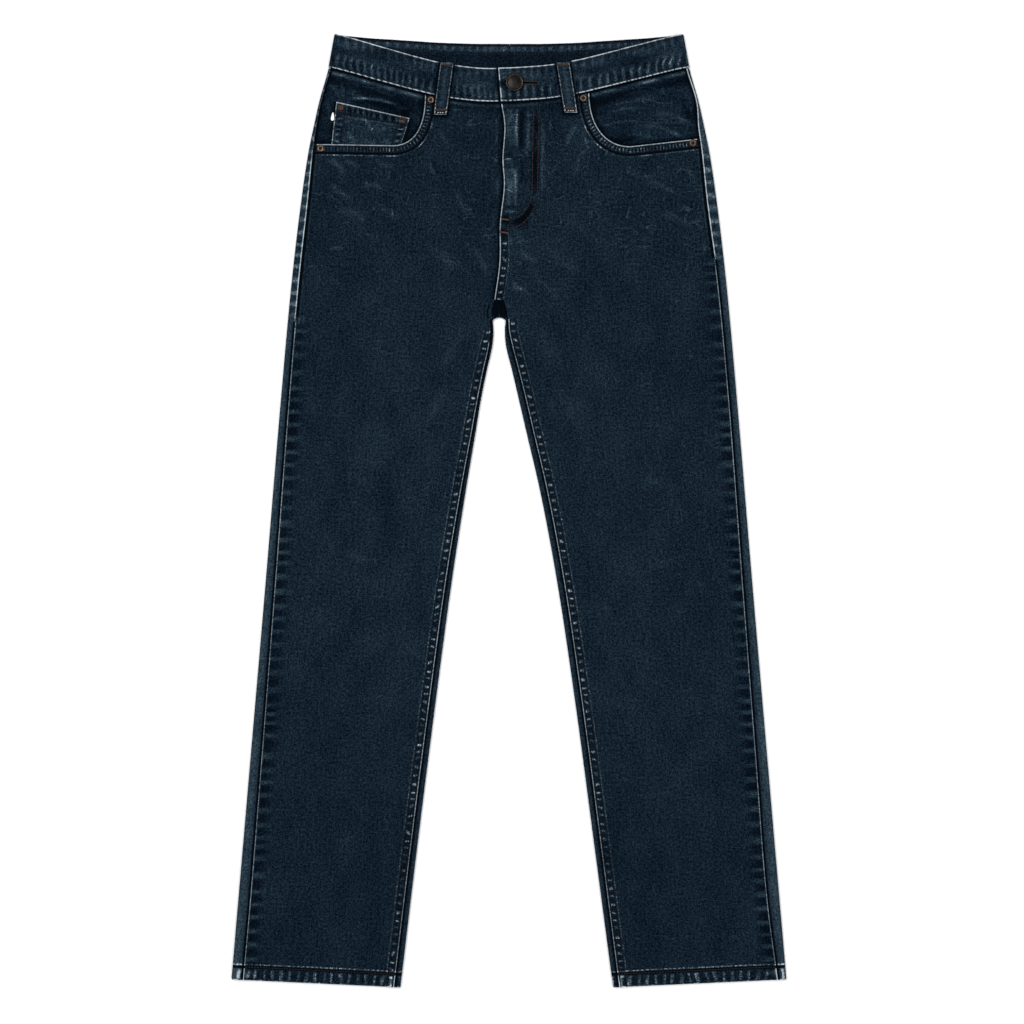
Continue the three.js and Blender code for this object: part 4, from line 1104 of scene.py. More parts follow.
def front_loop_points(side):
    """Points of a front belt loop, arched a little over the waistband."""
    top_x, top_y, low_x, low_y = FRONT_LOOPS[side.name]
    v = graded(0, 0.008, 0.02, (0.04, 0.96, 46), 0.98, 0.992, 1)
    u = loop_width_steps(14)
    x, y = mix(top_x, low_x, v), mix(top_y - 1, low_y, v)
    below = np.max([loop_ground(side, x + k * LOOP_WIDTH / 2, y) for k in (-1, 0, 1)], axis=0)
    low = below + GAP + 0.5 * np.sin(np.pi * np.clip(v / 0.66, 0, 1))
    grid = points_of(x[:, None] + u * LOOP_WIDTH, y[:, None], low[:, None])
    outer = grid.copy()
    outer[..., 2] += LOOP_THICK - 0.7 * np.clip((abs(u) - 0.44) / 0.06, 0, 1) ** 2
    # the turned end below the lower bartack, and a furrow down the middle of each doubled edge
    outer[..., 2] -= 0.25 * ridge(abs(u) - 0.33, 0.05) + 0.3 * bump((v - 0.93) / 0.03)[:, None]
    return outer, grid


def back_loop_points(x):
    """Points of a back belt loop, flat under the waistband."""
    top, bottom = across(BACK_TOP, x) - 1, across(BACK_SEAM, x) - 12
    v = graded(0, 0.01, 0.03, (0.06, 0.94, 30), 0.97, 0.99, 1)
    u = loop_width_steps(12)
    y = mix(top, bottom, v)[:, None]
    low = 0.5 * np.clip((abs(u) - 0.44) / 0.06, 0, 1) ** 2 + 0.2 * ridge(abs(u) - 0.33, 0.05)
    return points_of(x + u * LOOP_WIDTH, y, low), points_of(x + u * LOOP_WIDTH, y, LOOP_BACK_THICK)


# ---- Wear and painted shade of the other pieces ----


def plain_fields(x, y, seed, gain=1.0):
    """Wear that any piece of this cloth has: large soft clouds."""
    wear = gain * (0.05 * noise(x / 46, y / 80, seed) + 0.03 * noise(x / 17, y / 30, seed + 1))
    made = dict.fromkeys(("relief", "rim", "broken", "shade", "mouth", "mouth_run", "fell", "hem"), 0 * x)
    return {**made, "wear": wear, "glint": 0.8 + 0 * x, "creased": 0.5 + 0 * x}


def under_fields(side, x, y):
    """The lower layer seen from below: felled seams, and folds where the seat and knees bend."""
    made = plain_fields(x, y, 61)
    up, to_yoke = y - hem_line(side, x), y - yoke_seam(x)
    to_centre = x - centre_back(y)
    to_seat = np.where(y > SEAT_FOLD_Y, abs(to_centre - 5), FAR)
    on_seam = np.maximum(ease((5.4 - to_seat) / 0.8), ease(to_yoke / 0.8) * ease((10.4 - to_yoke) / 0.8))
    on_seam = np.maximum(on_seam, ease((HEM_DEPTH - up) / 0.8))
    crease = strokes(HIDDEN_CREASES, x, y)
    pucker = bars(y, 9.5, 71) * bump((to_centre - 5) / 8) + bars(x, 9.5, 72) * bump((to_yoke - 5) / 8)
    folds = np.clip(0.18 + 1.1 * crease + 0.3 * noise(x / 60, y / 110, 44), 0, 0.55)
    made["relief"] = 0.3 * (1 - on_seam) + folds + np.clip(0.12 * pucker, 0, 1)
    on_pocket = np.exp(-(((x - POCKET_X * np.sign(x)) / 70) ** 2 + ((y - 300) / 90) ** 2))
    made["wear"] += 0.6 * crease + 0.34 * pucker + 0.10 * on_pocket
    made["wear"] += 0.06 * bump((y + 80) / 130)
    seam = np.minimum(np.where(to_yoke >= 0, to_yoke, NOWHERE), np.where(to_centre > 0, to_centre, NOWHERE))
    made["rim"] = closeness(np.where(y > SEAT_FOLD_Y, seam, NOWHERE))
    made["hem"] = closeness(up)
    return made


def back_fields(side, x, y, z, run_out, run_in):
    """A leg back: the strips that show outside the seams on top, and the side that lies on the floor."""
    under = under_fields(side, x, y)
    on_top = ease((z - rest(x, y) - 1.6) / 3)
    outer_strip = ease((FAR - run_out) / 2)
    run = np.minimum(run_out, run_in)
    above = strip_proud(side, y) * outer_strip
    crest = crests(y, 13.5, 3 + side.sign)
    plain_top = ease((y - 395) / 20) if side is LEFT else 0
    high = ease((y - 385) / 40) if side is RIGHT else 0
    bar = above * (mix(0.60 * crest - 0.14 - 0.10 * high, 0.20, plain_top)) * ease(run_out / 1.6)
    greyer = (0.30 - 0.14 * above) * outer_strip * ease(run_out / 2.5) + 0.10 * (1 - outer_strip)
    speckle = 0.10 * noise(x / 3, y / 5, 81) + 0.06 * noise(x / 7, y / 19, 82)
    foot = 0.22 * ease((18 - (y - hem_line(side, x))) / 5) * outer_strip
    # painted shade along the outermost edge of the fold, where it turns down
    fold_edge_shade = 0.25 * fall((half_width(y) - side.sign * x) / 1.3) * outer_strip
    # the seat shows dark in the corner of the crotch, with its two seam lines
    seat = ease((y - SEAT_SHOWN_FROM_Y) / 8) * (z > 2)
    seat = seat * ease((x - SEAT_SHOWS[0]) / 1.6) * (x < SEAT_SHOWS[1])
    seams = ridge(x - SEAT_LINES[0], 0.8) + 0.7 * ridge(x - SEAT_LINES[1], 0.8)
    top = {
        "relief": 0.7 * bar * ease(run_out / 3) - 0.25 * fall(run / 1.5) * (1 - above),
        "wear": greyer + bar + speckle + foot - fold_edge_shade - seat * (1.0 - 0.55 * seams),
        "rim": closeness(run),
        "shade": closeness(np.where(above > 0.5, FAR, run)),
        "glint": (0.90 - 0.56 * high) * above,
    }
    return {key: value * (1 - on_top) + on_top * top.get(key, 0) for key, value in under.items()} | {
        "hem": under["hem"]
    }


# Heights in the pressed waistband from which a point is on its front layer, or on its inner face
FRONT_LAYER_FROM, INNER_FACE_FROM = 4.4, 1.6


def band_fields(side, x, y, z):
    """Half the waistband: crests where the seams along its edges draw it in, and worn edges."""
    height = z - rest(x, BAND_Y)
    front = height > FRONT_LAYER_FROM
    inside = (height <= FRONT_LAYER_FROM) & (height > INNER_FACE_FROM)
    top = np.where(front, across(FRONT_TOP, x), across(BACK_TOP, x))
    foot = np.where(front, across(FRONT_SEAM, x), across(BACK_SEAM, x))
    w = np.clip((top - y) / (top - foot), 0, 1)
    low_zone = ease((w - 0.52) / 0.14) * (1 - 0.6 * ease((w - 0.88) / 0.06))
    high_zone = 1 - ease((w - 0.20) / 0.2)
    bar = crests(x + 2 * noise(x / 30, y / 9, 90), WORN[side.name].crests, 91 + side.sign)
    high_bar = crests(x + 4 + 2 * noise(x / 24, y / 9, 94), 9.0, 95 + side.sign)
    made = plain_fields(x, y, 97)
    patchy = 0.7 + 0.3 * noise(x / 34, y / 24, 93)
    front_wear = 0.03 + 0.08 * noise(x / 14, y / 10, 89) + 0.20 * noise(x / 30, y / 7, 88)
    front_wear = front_wear + low_zone * (0.54 * bar - 0.21) * (0.5 + patchy)
    front_wear = front_wear + high_zone * (0.46 * high_bar - 0.16) * patchy
    trough = bump((w - 0.42 - 0.1 * noise(x / 30, 1.5, 87)) / 0.2) * (0.5 + 0.5 * noise(x / 16, 3.5, 92))
    front_wear = front_wear - 0.26 * trough
    inner_bar = crests(x, 9.2, 99) * (1 - ease((w - 0.16) / 0.1)) * ease((w - 0.05) / 0.04)
    inner_wear = 0.38 * inner_bar + 0.02 - 0.34 * ease((w - 0.2) / 0.08)
    inner_wear = inner_wear - 0.55 * (1 - ease((w - 0.05) / 0.04))
    inner_wear = inner_wear + 0.18 * bump((x + 12) / 28) * (1 - ease((w - 0.2) / 0.1))
    made["wear"] += np.where(inside, inner_wear, front_wear)
    edge = np.minimum(w, 1 - w) * BAND_DEPTH
    if side is LEFT:
        end = x - band_end(w)
        # painted shadow in a ring round the button
        button_shadow = fall(abs(np.hypot(x - BUTTON_X, y - BUTTON_Y) - BUTTON_R) / 3)
        made["wear"] += front * (patches(BUTTON_MARKS, x, y) - 0.2 * button_shadow)
    else:
        end = NOWHERE + 0 * x
        made["shade"] = front * closeness(np.maximum(0, band_end(w) - x))
    made["shade"] = np.maximum(made["shade"], front * closeness(beside_loop(side, x, y) + 0.2))
    made["wear"] -= front * 0.16 * ridge(edge - 3.4, 0.9)
    relief = 0.36 * low_zone * (bar - 0.4) + 0.22 * high_zone * (high_bar - 0.4)
    relief -= 0.25 * (ridge(w - 0.06, 0.02) + ridge(w - 0.935, 0.02))
    relief += 0.25 * noise(x / 40, y / 30, 98)
    made["relief"] = np.where(front, relief, np.where(inside, 0, np.clip(0.25 + relief, 0, 0.6)))
    rims = nearest((BAND_DEPTH * w, 0.95), (BAND_DEPTH * (1 - w), 1.05), (end, 0.9))
    made["rim"] = np.where(front, rims["rim"], closeness(edge + 0.2))
    made["glint"] = np.where(front, rims["glint"], np.where(inside, 0.15, 0.6))
    made["broken"] = np.where(w > 0.92, 0.9, 0.1)
    made["creased"] = 0.6 + 0 * x
    return made


def facing_fields(side, x, y):
    """The cloth behind a pocket mouth: creased, with painted shade under the edges round it."""
    made = plain_fields(x, y, 101)
    outside = -mouth_distance(side, x, y)[0]
    below_band = across(FRONT_SEAM, x) - y
    crease = strokes(POCKET_CREASES, x, y)
    folds = 1.5 * crease + 0.5 * noise(x / 40, y / 36, 102) + 0.2 * noise(x / 15, y / 14, 103)
    made["relief"] = ease(outside / 5) * folds
    # creases, and painted shade near the mouth edge that lies over the facing
    made["wear"] += 1.5 * crease - 0.12 * fall(outside / 14)
    made["wear"] += 0.16 * noise(x / 26, y / 9, 104) - WORN[side.name].facing
    # a pale pressed line under the waistband, and painted shade further below it
    pressed = (0.62 + 0.50 * noise(x / 9, y / 6, 57)) * bump((below_band - 5.0) / 3.4)
    made["wear"] += pressed - 0.34 * bump((below_band - 14) / 9)
    made["creased"] = 1.0 + 0 * x
    shade = np.minimum(np.minimum(outside, below_band - GAP), from_side(side, x, y))
    if side is RIGHT:
        (ax, ay), (bx, by) = COIN["top"]
        (cx, cy), (dx, dy) = COIN["low"]
        right_x, left_x = np.interp(y, (dy, by), (dx, bx)), np.interp(y, (cy, ay), (cx, ax))
        top_y = np.interp(x, (ax, bx), (ay, by))
        beyond = np.maximum(np.maximum(x - right_x, left_x - x), 0)
        shade = np.minimum(shade, np.where(y < top_y + 1, beyond + 0.4, NOWHERE))
        under_coin = over(x, y, COIN_BOX) > 0.5
        made["relief"] = np.where(under_coin, np.minimum(made["relief"], 0.15), made["relief"])
        made["wear"] += 1.6 * strokes(COIN_SHADES, x, y)
    made["shade"] = closeness(shade)
    return made


def coin_fields(x, y, u, v):
    """The coin pocket: a double row along the top and each side, with crests drawn up between the rows."""
    made = plain_fields(x, y, 111)
    side_edge = np.minimum(u, 1 - u)[None] * COIN["width"] + 0 * y
    top_edge = v[:, None] * COIN["height"] + 0 * x
    row = ridge(top_edge - 9.4, 1.0)
    side_row = ridge(side_edge - 10.4, 0.9) * ease((top_edge - 3) / 2)
    in_hem = bump((top_edge - 5) / 5.5) * ease((side_edge - 10) / 3)
    in_side = bump((side_edge - 5.6) / 4.6) * ease((top_edge - 10) / 3)
    crest, side_crest = crests(x, 7.2, 113), crests(y, 6.6, 115)
    made["relief"] = 0.3 * (crest - 0.4) * in_hem + 0.3 * noise(x / 26, y / 22, 114) * ease(side_edge / 8)
    made["relief"] -= 0.3 * row + 0.25 * side_row
    made["wear"] += (1.05 * crest - 0.60) * in_hem + (1.15 * side_crest - 0.46) * in_side - 0.05
    below_row = ridge(top_edge - 11.6, 1.0) * ease((side_edge - 7) / 3)
    made["wear"] -= 0.40 * row + 0.42 * side_row - 0.34 * below_row
    made["wear"] += 1.7 * strokes(COIN_CREASES, x, y)
    made.update(nearest((top_edge, 0.9), (side_edge + 0.2, 0.75)))
    made["broken"] = 0.15 + 0 * x
    made["creased"] = 1.0 + 0 * x
    return made


def pocket_fields(x, y, edge, down):
    """A back pocket: its hem, the rows round it, and the cloth that they draw in."""
    made = plain_fields(x, y, 121, 1.4)
    rows = ridge(down - 14, 0.8) + (ridge(edge - 1.8, 0.6) + ridge(edge - 7.6, 0.6))
    pucker = bars(x + y, 8.6, 123) * bump((edge - 4.6) / 5) + bars(x, 9, 124) * bump((down - 8) / 8)
    made["relief"] = 0.22 * np.clip(rows, 0, 1) + np.clip(0.12 * pucker, 0, 1) + 0.25 * ease((edge - 8) / 3)
    made["wear"] += 0.16 * pucker + 0.10 * ease((edge - 10) / 12)
    made["rim"] = closeness(edge)
    return made


def loop_fields(x, y, edge):
    """A belt loop: worn edges, dark beside each row of stitches, and a paler middle."""
    made = plain_fields(x, y, 131)
    wear = 0.10 * ease((edge - 4) / 2) - 0.30 * ridge(edge - 2.0, 0.8) - 0.12 * ridge(edge - 4.4, 0.7)
    made["wear"] += 0.08 + wear + 0.22 * (crests(y, 7.5, 133) - 0.4) * bump((edge - 3.2) / 3)
    made["rim"] = closeness(edge)
    made["glint"] = 0.52 + 0 * x
    return made


# ---- Meshes ----

# How far a sheet's face may be pressed in, which leaves half its thickness
DEEPEST = 0.6


def sheet_mesh(name, outer, inner, values, keep=None, inner_values=None):
    """A closed wall between two grids of points, with the wear and painted shade of each point written on
    it.
    """
    keep = np.ones(outer.shape[:2], bool) if keep is None else keep
    ids, count = np.cumsum(keep.ravel()).reshape(keep.shape) - 1, int(keep.sum())
    whole = keep[:-1, :-1] & keep[:-1, 1:] & keep[1:, 1:] & keep[1:, :-1]
    quads = np.stack([ids[:-1, :-1], ids[:-1, 1:], ids[1:, 1:], ids[1:, :-1]], -1)[whole]
    edges = join([quads[:, [k, (k + 1) % 4]] for k in range(4)])
    rim = edges[~np.isin(edges @ [count, 1], edges @ [1, count])]
    faces = join([quads, quads[:, ::-1] + count, np.hstack([rim[:, ::-1], rim + count])])
    points = join([outer[keep], inner[keep]])
    a, b, c, d = (points[faces[:, k]] for k in range(4))
    volume = np.einsum("ij,ij->", a, np.cross(b, c)) + np.einsum("ij,ij->", a, np.cross(c, d))
    if volume < 0:
        faces = faces[:, ::-1]
    mesh = bpy.data.meshes.new(name)
    mesh.from_pydata((points * MM).tolist(), [], faces.tolist())
    inner_values = inner_values or values
    both = {key: join([value[keep], inner_values[key][keep]]) for key, value in values.items()}
    write_values(mesh, both, points)
    return place_mesh(name, mesh)


def write_values(mesh, values, points):
    """Writes wear and painted shade on a mesh, with a cloth map that runs along the legs."""
    for key, value in values.items():
        layer = mesh.attributes.get(key) or mesh.attributes.new(key, "FLOAT", "POINT")
        layer.data.foreach_set("value", value.astype(np.float32))
    u, v = along_leg(points[:, 0], points[:, 1])
    corners = np.empty(len(mesh.loops), np.int32)
    mesh.loops.foreach_get("vertex_index", corners)
    layer = mesh.uv_layers.get("cloth") or mesh.uv_layers.new(name="cloth")
    layer.data.foreach_set("uv", (points_of(u, v)[corners] * MM).astype(np.float32).ravel())


def place_mesh(name, mesh):
    """Puts a finished mesh in the scene, smooth."""
    mesh.shade_smooth()
    piece = bpy.data.objects.new(name, mesh)
    bpy.context.scene.collection.objects.link(piece)
    return piece


def raised(outer, inner, relief):
    """Moves a sheet's outer points by its relief, and its inner ones where it rises."""
    outer, inner = outer.copy(), inner.copy()
    outer[..., 2] += np.maximum(relief, -DEEPEST)
    inner[..., 2] += np.maximum(relief, 0)
    return outer, inner


def laid(rows, low, thick):
    """Top and underside of a sheet from its places and how high it lies."""
    grid = join([rows, low[..., None]], -1)
    top = grid.copy()
    top[..., 2] += thick
    return top, grid


def assign(piece, replaces=None):
    """What a piece rides on, and the solid that it stands for."""
    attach(piece, "root")
    if replaces:
        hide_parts(replaces)


def finish_sheet(piece, slot, replaces, look=None):
    """Finish of a sheet of cloth, and the solid that it stands for."""
    piece.data.materials.append(LOOKS[look or slot])
    assign(piece, replaces)


def add_sheet(name, outer, inner, values, slot, replaces, keep=None, look=None):
    """Makes a sheet between two grids and finishes it."""
    finish_sheet(sheet_mesh(name, outer, inner, values, keep), slot, replaces, look)


# ---- Finishes ----


def linear(value):
    """A channel from 0 to 255 as light."""
    value /= 255
    return value / 12.92 if value <= 0.04045 else ((value + 0.055) / 1.055) ** 2.4


def tone(red, green, blue):
    """A colour, given for use in a shader."""
    return tuple(linear(v) for v in (red, green, blue))


class Wire:
    """A number that runs through a material's nodes, so that a pattern reads as a formula."""

    def __init__(self, tree, socket):
        self.tree, self.socket = tree, socket

    def math(self, operation, *others):
        made = self.tree.nodes.new("ShaderNodeMath")
        made.operation = operation
        for place, value in zip(made.inputs, (self, *others)):
            feed(self.tree, place, value)
        return Wire(self.tree, made.outputs[0])

    def __add__(self, other):
        return self.math("ADD", other)

    def __sub__(self, other):
        return self.math("SUBTRACT", other)

    def __mul__(self, other):
        return self.math("MULTIPLY", other)

    def __truediv__(self, other):
        return self.math("DIVIDE", other)

    def __neg__(self):
        return self.math("MULTIPLY", -1.0)

    __radd__, __rmul__ = __add__, __mul__

    def __rsub__(self, other):
        return (-self).math("ADD", other)

    def sine(self):
        return self.math("SINE")

    def rise(self, low, high):
        """0 at low, 1 at high, eased."""
        made = self.tree.nodes.new("ShaderNodeMapRange")
        made.interpolation_type = "SMOOTHSTEP"
        for place, value in zip(made.inputs, (self, float(low), float(high))):
            feed(self.tree, place, value)
        return Wire(self.tree, made.outputs[0])

    def band(self, low, high, soft):
        """1 from low to high, 0 outside."""
        return self.rise(low - soft, low + soft) * (1 - self.rise(high - soft, high + soft))


def feed(tree, place, value):
    """Links a wire to a socket, or sets its value."""
    if isinstance(value, Wire):
        tree.links.new(value.socket, place)
    else:
        place.default_value = value


def new_material(name):
    """A material with an empty Principled shader."""
    material = bpy.data.materials.new(name)
    material.use_nodes = True
    tree = material.node_tree
    return material, tree, tree.nodes["Principled BSDF"]


def node(tree, kind, settings=None, **inputs):
    """Adds a node, with settings and inputs by name."""
    made = tree.nodes.new(kind)
    for key, value in (settings or {}).items():
        setattr(made, key, value)
    for key, value in inputs.items():
        feed(tree, made.inputs[key], value)
    return made


def attribute(tree, name):
    """A number that each point of the piece holds."""
    made = node(tree, "ShaderNodeAttribute", {"attribute_name": name})
    return Wire(tree, made.outputs["Fac"])


def cloth_noise(tree, u, v, across_size, along_size, seed, detail=2.0):
    """Noise on the cloth map from about -1 to 1, with grains of a given size in millimetres."""
    x, y = u * (1 / across_size), v * (1 / along_size)
    place = node(tree, "ShaderNodeCombineXYZ", X=x, Y=y, Z=float(seed))
    texture = node(tree, "ShaderNodeTexNoise", Scale=1.0, Detail=detail, Roughness=0.55)
    tree.links.new(place.outputs[0], texture.inputs["Vector"])
    return (Wire(tree, texture.outputs["Fac"]) - 0.5) * 4.0


def dashes(run, period, drift, sharp=0.55):
    """Bright dashes along a seam, uneven in spacing."""
    return (run * (2 * math.pi / period) + drift).sine().rise(sharp - 0.45, sharp + 0.45)


FINE_CREASES = ((21, 11, 40, 0.24), (22, 44, 10, 0.32), (23, 16, 9, 0.20))
# Colours of the wear value, which also carries painted shade, from darkest to palest
TONES_OF_WEAR_AND_SHADE = (
    (-0.6, (1, 5, 11)),
    (-0.25, (8, 20, 32)),
    (0.0, (19, 33, 44)),
    (0.25, (31, 46, 57)),
    (0.5, (55, 71, 81)),
    (1.0, (172, 184, 190)),
)


def denim(name, base):
    """Worn denim: its grain, the wear that each seam leaves beside it, and painted shade beside what lies
    on it and on one side of each fine crease.
    """
    material, tree, shader = new_material(name)
    uv = node(tree, "ShaderNodeUVMap", {"uv_map": "cloth"})
    parted = node(tree, "ShaderNodeSeparateXYZ")
    tree.links.new(uv.outputs[0], parted.inputs[0])
    u, v = (Wire(tree, parted.outputs[k]) * (1 / MM) for k in (0, 1))
    grain = cloth_noise(tree, u, v, 2.5, 2.8, 1)
    fine = cloth_noise(tree, u, v, 1.1, 1.2, 2, 1.0)
    streak = cloth_noise(tree, u, v, 1.4, 26, 3)
    cloud = cloth_noise(tree, u, v, 30, 46, 4)
    uneven = cloth_noise(tree, u, v, 3.0, 3.0, 5, 1.0)
    lost = cloth_noise(tree, u, v, 13, 17, 8, 0.0)
    cloth = 0.42 * grain + 0.54 * fine + 0.16 * streak + 0.08 * cloud
    cloth -= (cloth - 0.20).math("MAXIMUM", 0.0) * 0.6
    # fine creases, each a thin pale worn line that comes and goes, with painted shade along one side
    creased = attribute(tree, "creased")
    for seed, wide, long, gain in FINE_CREASES:
        line = cloth_noise(tree, u + cloud * 5.0, v + lost * 3.0, wide, long, seed, 0.0)
        seen = creased * (lost if wide < long else -lost).rise(-0.10, 0.25)
        cloth += seen * (1 - line.math("ABSOLUTE").rise(0.01, 0.09)) * gain
        cloth -= seen * (1 - (line - 0.16).math("ABSOLUTE").rise(0.04, 0.12)) * (0.4 * gain)
    far = float(FAR)
    rim, shade, mouth, fell, hem = (
        far - attribute(tree, key) for key in ("rim", "shade", "mouth", "fell", "hem")
    )
    run, glint = attribute(tree, "mouth_run"), attribute(tree, "glint")
    on_rim = 1 - rim.rise(0.7, 1.5)
    # cloth that is only rubbed stays blue, and goes pale at an edge alone
    wear = attribute(tree, "wear") + base + cloth * (1 - on_rim * glint * 0.75)
    wear -= (wear - 0.28).math("MAXIMUM", 0.0) * 0.4
    # worn edges, whole or broken where stitches draw them in
    broken = attribute(tree, "broken") * (1 - dashes(u + v, 5.2, uneven * 1.0, -0.35))
    wear += on_rim * (glint * (0.98 + 0.12 * uneven) - 0.45 * broken)
    # painted shadow: the dark line beside whatever lies on this cloth
    wear -= 0.85 * (1 - shade.rise(1.5, 2.9)) + 0.20 * (1 - shade.rise(2.0, 8.0))
    # the stitched band of a pocket mouth
    crest = dashes(run, 3.7, uneven * 0.5 + lost, 0.25)
    wear += mouth.band(2.8, 7.4, 0.6) * (crest * (0.62 + 0.20 * lost) - 0.22)
    wear -= 0.70 * mouth.band(7.9, 10.7, 0.5) + 0.34 * mouth.band(1.35, 2.5, 0.3)
    wear += (0.46 + 0.30 * lost) * mouth.band(11.5, 12.6, 0.5)
    # the felled seam inside each leg
    crest = dashes(v, 9.1, lost * 1.6 + uneven * 0.2, 0.62)
    wear += fell.band(3.0, 7.6, 0.7) * (crest * (0.78 + 0.24 * lost) - 0.20)
    wear -= 0.26 * fell.band(7.6, 9.2, 0.5) + 0.40 * fell.band(1.35, 2.9, 0.35)
    wear += (0.38 + 0.24 * uneven) * fell.band(9.7, 10.9, 0.5)
    # the hem
    crest = dashes(u, 9.6, lost * 1.2 + uneven * 0.15, 0.40)
    wear += hem.band(1.4, 12.4, 1.4) * (crest * (0.56 + 0.22 * lost) - 0.12)
    row = dashes(u, 5.3, uneven * 0.9, -0.3) * 0.28 + 0.40
    wear += row * hem.band(16.9, 18.4, 0.5) - 0.95 * hem.band(13.4, 16.3, 0.5)
    wear += (1 - hem.rise(0.6, 1.6)) * (0.42 + 0.50 * uneven)
    (low, darkest), *between, (high, palest) = TONES_OF_WEAR_AND_SHADE
    ramp = node(tree, "ShaderNodeValToRGB", Fac=(wear + -low) * (1 / (high - low)))
    stops = ramp.color_ramp.elements
    stops[0].color, stops[1].color = (*tone(*darkest), 1), (*tone(*palest), 1)
    for amount, color in between:
        stops.new((amount - low) / (high - low)).color = (*tone(*color), 1)
    tree.links.new(ramp.outputs["Color"], shader.inputs["Base Color"])
    twill = ((u + v * 0.9) * (2 * math.pi / 0.9)).sine()
    height = 0.6 * grain + 0.6 * fine + 0.3 * twill + 0.4 * uneven
    relief = node(tree, "ShaderNodeBump", Strength=0.55, Distance=0.00022, Height=height)
    tree.links.new(relief.outputs[0], shader.inputs["Normal"])
    shader.inputs["Roughness"].default_value = 0.94
    shader.inputs["Specular IOR Level"].default_value = 0.03
    return material


def plain_finish(name, color, roughness, specular, metal, mottle, size, bump_height):
    """A finish of one colour, a little uneven, with grains of a given size in millimetres."""
    material, tree, shader = new_material(name)
    place = node(tree, "ShaderNodeTexCoord")
    texture = node(tree, "ShaderNodeTexNoise", Scale=1 / (size * MM), Detail=3.0, Roughness=0.6)
    tree.links.new(place.outputs["Object"], texture.inputs["Vector"])
    grains = Wire(tree, texture.outputs["Fac"])
    ramp = node(tree, "ShaderNodeValToRGB", Fac=grains)
    for stop, position, gain in zip(ramp.color_ramp.elements, (0.35, 0.65), (1 - mottle, 1 + mottle)):
        stop.position, stop.color = position, (*(v * gain for v in color), 1)
    tree.links.new(ramp.outputs["Color"], shader.inputs["Base Color"])
    if bump_height:
        relief = node(tree, "ShaderNodeBump", Strength=0.6, Distance=bump_height * MM, Height=grains)
        tree.links.new(relief.outputs[0], shader.inputs["Normal"])
    shader.inputs["Roughness"].default_value = roughness
    shader.inputs["Specular IOR Level"].default_value = specular
    shader.inputs["Metallic"].default_value = metal
    return material


LOOKS = {}


FINISHES = {
    # name, colour, roughness, specular, metal, mottle, and grain and bump in millimetres
    "thread": ("dark brown thread", (30, 24, 22), 0.7, 0.15, 0, 0.6, 3, 0),
    "rust_thread": ("rust brown thread", (46, 33, 29), 0.7, 0.15, 0, 0.7, 3, 0),
    "tack_thread": ("tan brown thread", (76, 56, 43), 0.7, 0.25, 0, 0.5, 1.5, 0),
    "brown_tack": ("brown tack thread", (62, 44, 37), 0.7, 0.25, 0, 0.5, 1.5, 0),
    "hole_thread": ("buttonhole thread", (40, 33, 28), 0.7, 0.25, 0, 0.6, 1.2, 0),
    "pale_thread": ("pale thread", (206, 202, 194), 0.7, 0.25, 0, 0.15, 1.2, 0),
    "tab": ("plain white tape", (240, 238, 232), 0.85, 0.2, 0, 0.06, 1, 0.1),
    "tape": ("zip tape", (16, 20, 26), 0.85, 0.1, 0, 0.3, 1.2, 0.1),
    "brass": ("antique brass", (46, 39, 31), 0.30, 0.5, 0.85, 0.5, 2.5, 0.10),
    "cap": ("darkened brass", (15, 13, 10), 0.32, 0.5, 0.8, 0.6, 3, 0.25),
    "copper": ("aged copper", (92, 73, 59), 0.34, 0.5, 0.85, 0.4, 2, 0.04),
    "dark": ("dark metal", (16, 12, 10), 0.5, 0.3, 0.4, 0.4, 1, 0.05),
    "floor": ("pale floor", (252, 252, 253), 0.9, 0.1, 0, 0, 500, 0),
}


def make_finishes(colors):
    """Every finish, with the fade and colours that the panel sets."""
    LOOKS["denim"] = denim("worn denim", colors.fade)
    LOOKS["denim_dark"] = denim("denim of the waistband", colors.fade - 0.02)
    for key, (name, _, *rest_of) in FINISHES.items():
        LOOKS[key] = plain_finish(name, getattr(colors, key), *rest_of)


# ---- Stitches ----


def cut_stitches(line, pitch, length, start=1.0):
    """Ends of the stitches along a line of points."""
    total = run_of(line)[-1]
    begin = np.arange(start, total - length, pitch)
    return join([at_run(line, begin), at_run(line, begin + length)], 1)


def satin(line, width, pitch=0.75):
    """Short stitches packed side by side across a line of points."""
    total = run_of(line)[-1]
    run = np.arange(0, total, pitch)
    middle_points = at_run(line, run)
    tangent = unit(at_run(line, np.minimum(run + 0.5, total)) - at_run(line, np.maximum(run - 0.5, 0)))
    sideways = points_of(-tangent[:, 1], tangent[:, 0]) * width / 2
    lean = tangent * 0.3
    return join([middle_points - sideways - lean, middle_points + sideways + lean], 1)


def ground(trees, x, y, below):
    """Height of the cloth at a point, on the side that the stitch lies on."""
    sign = 1 if below else -1
    start = Vector((x * MM, y * MM, -0.05 if below else 0.05))
    hits = [tree.ray_cast(start, Vector((0, 0, sign)))[0] for tree in trees]
    heights = [hit.z / MM for hit in hits if hit]
    if not heights:
        return None
    return min(heights) if below else max(heights)


# Sides of a thread, and the difference in height that a stitch can't climb
STRANDS, STEEPEST = 5, 1.2
# Share of the length, size and height of each ring of a stitch
STITCH_SHAPE = ((0, 0.45, -0.9), (0.2, 1, 0), (0.8, 1, 0), (1, 0.45, -0.9))


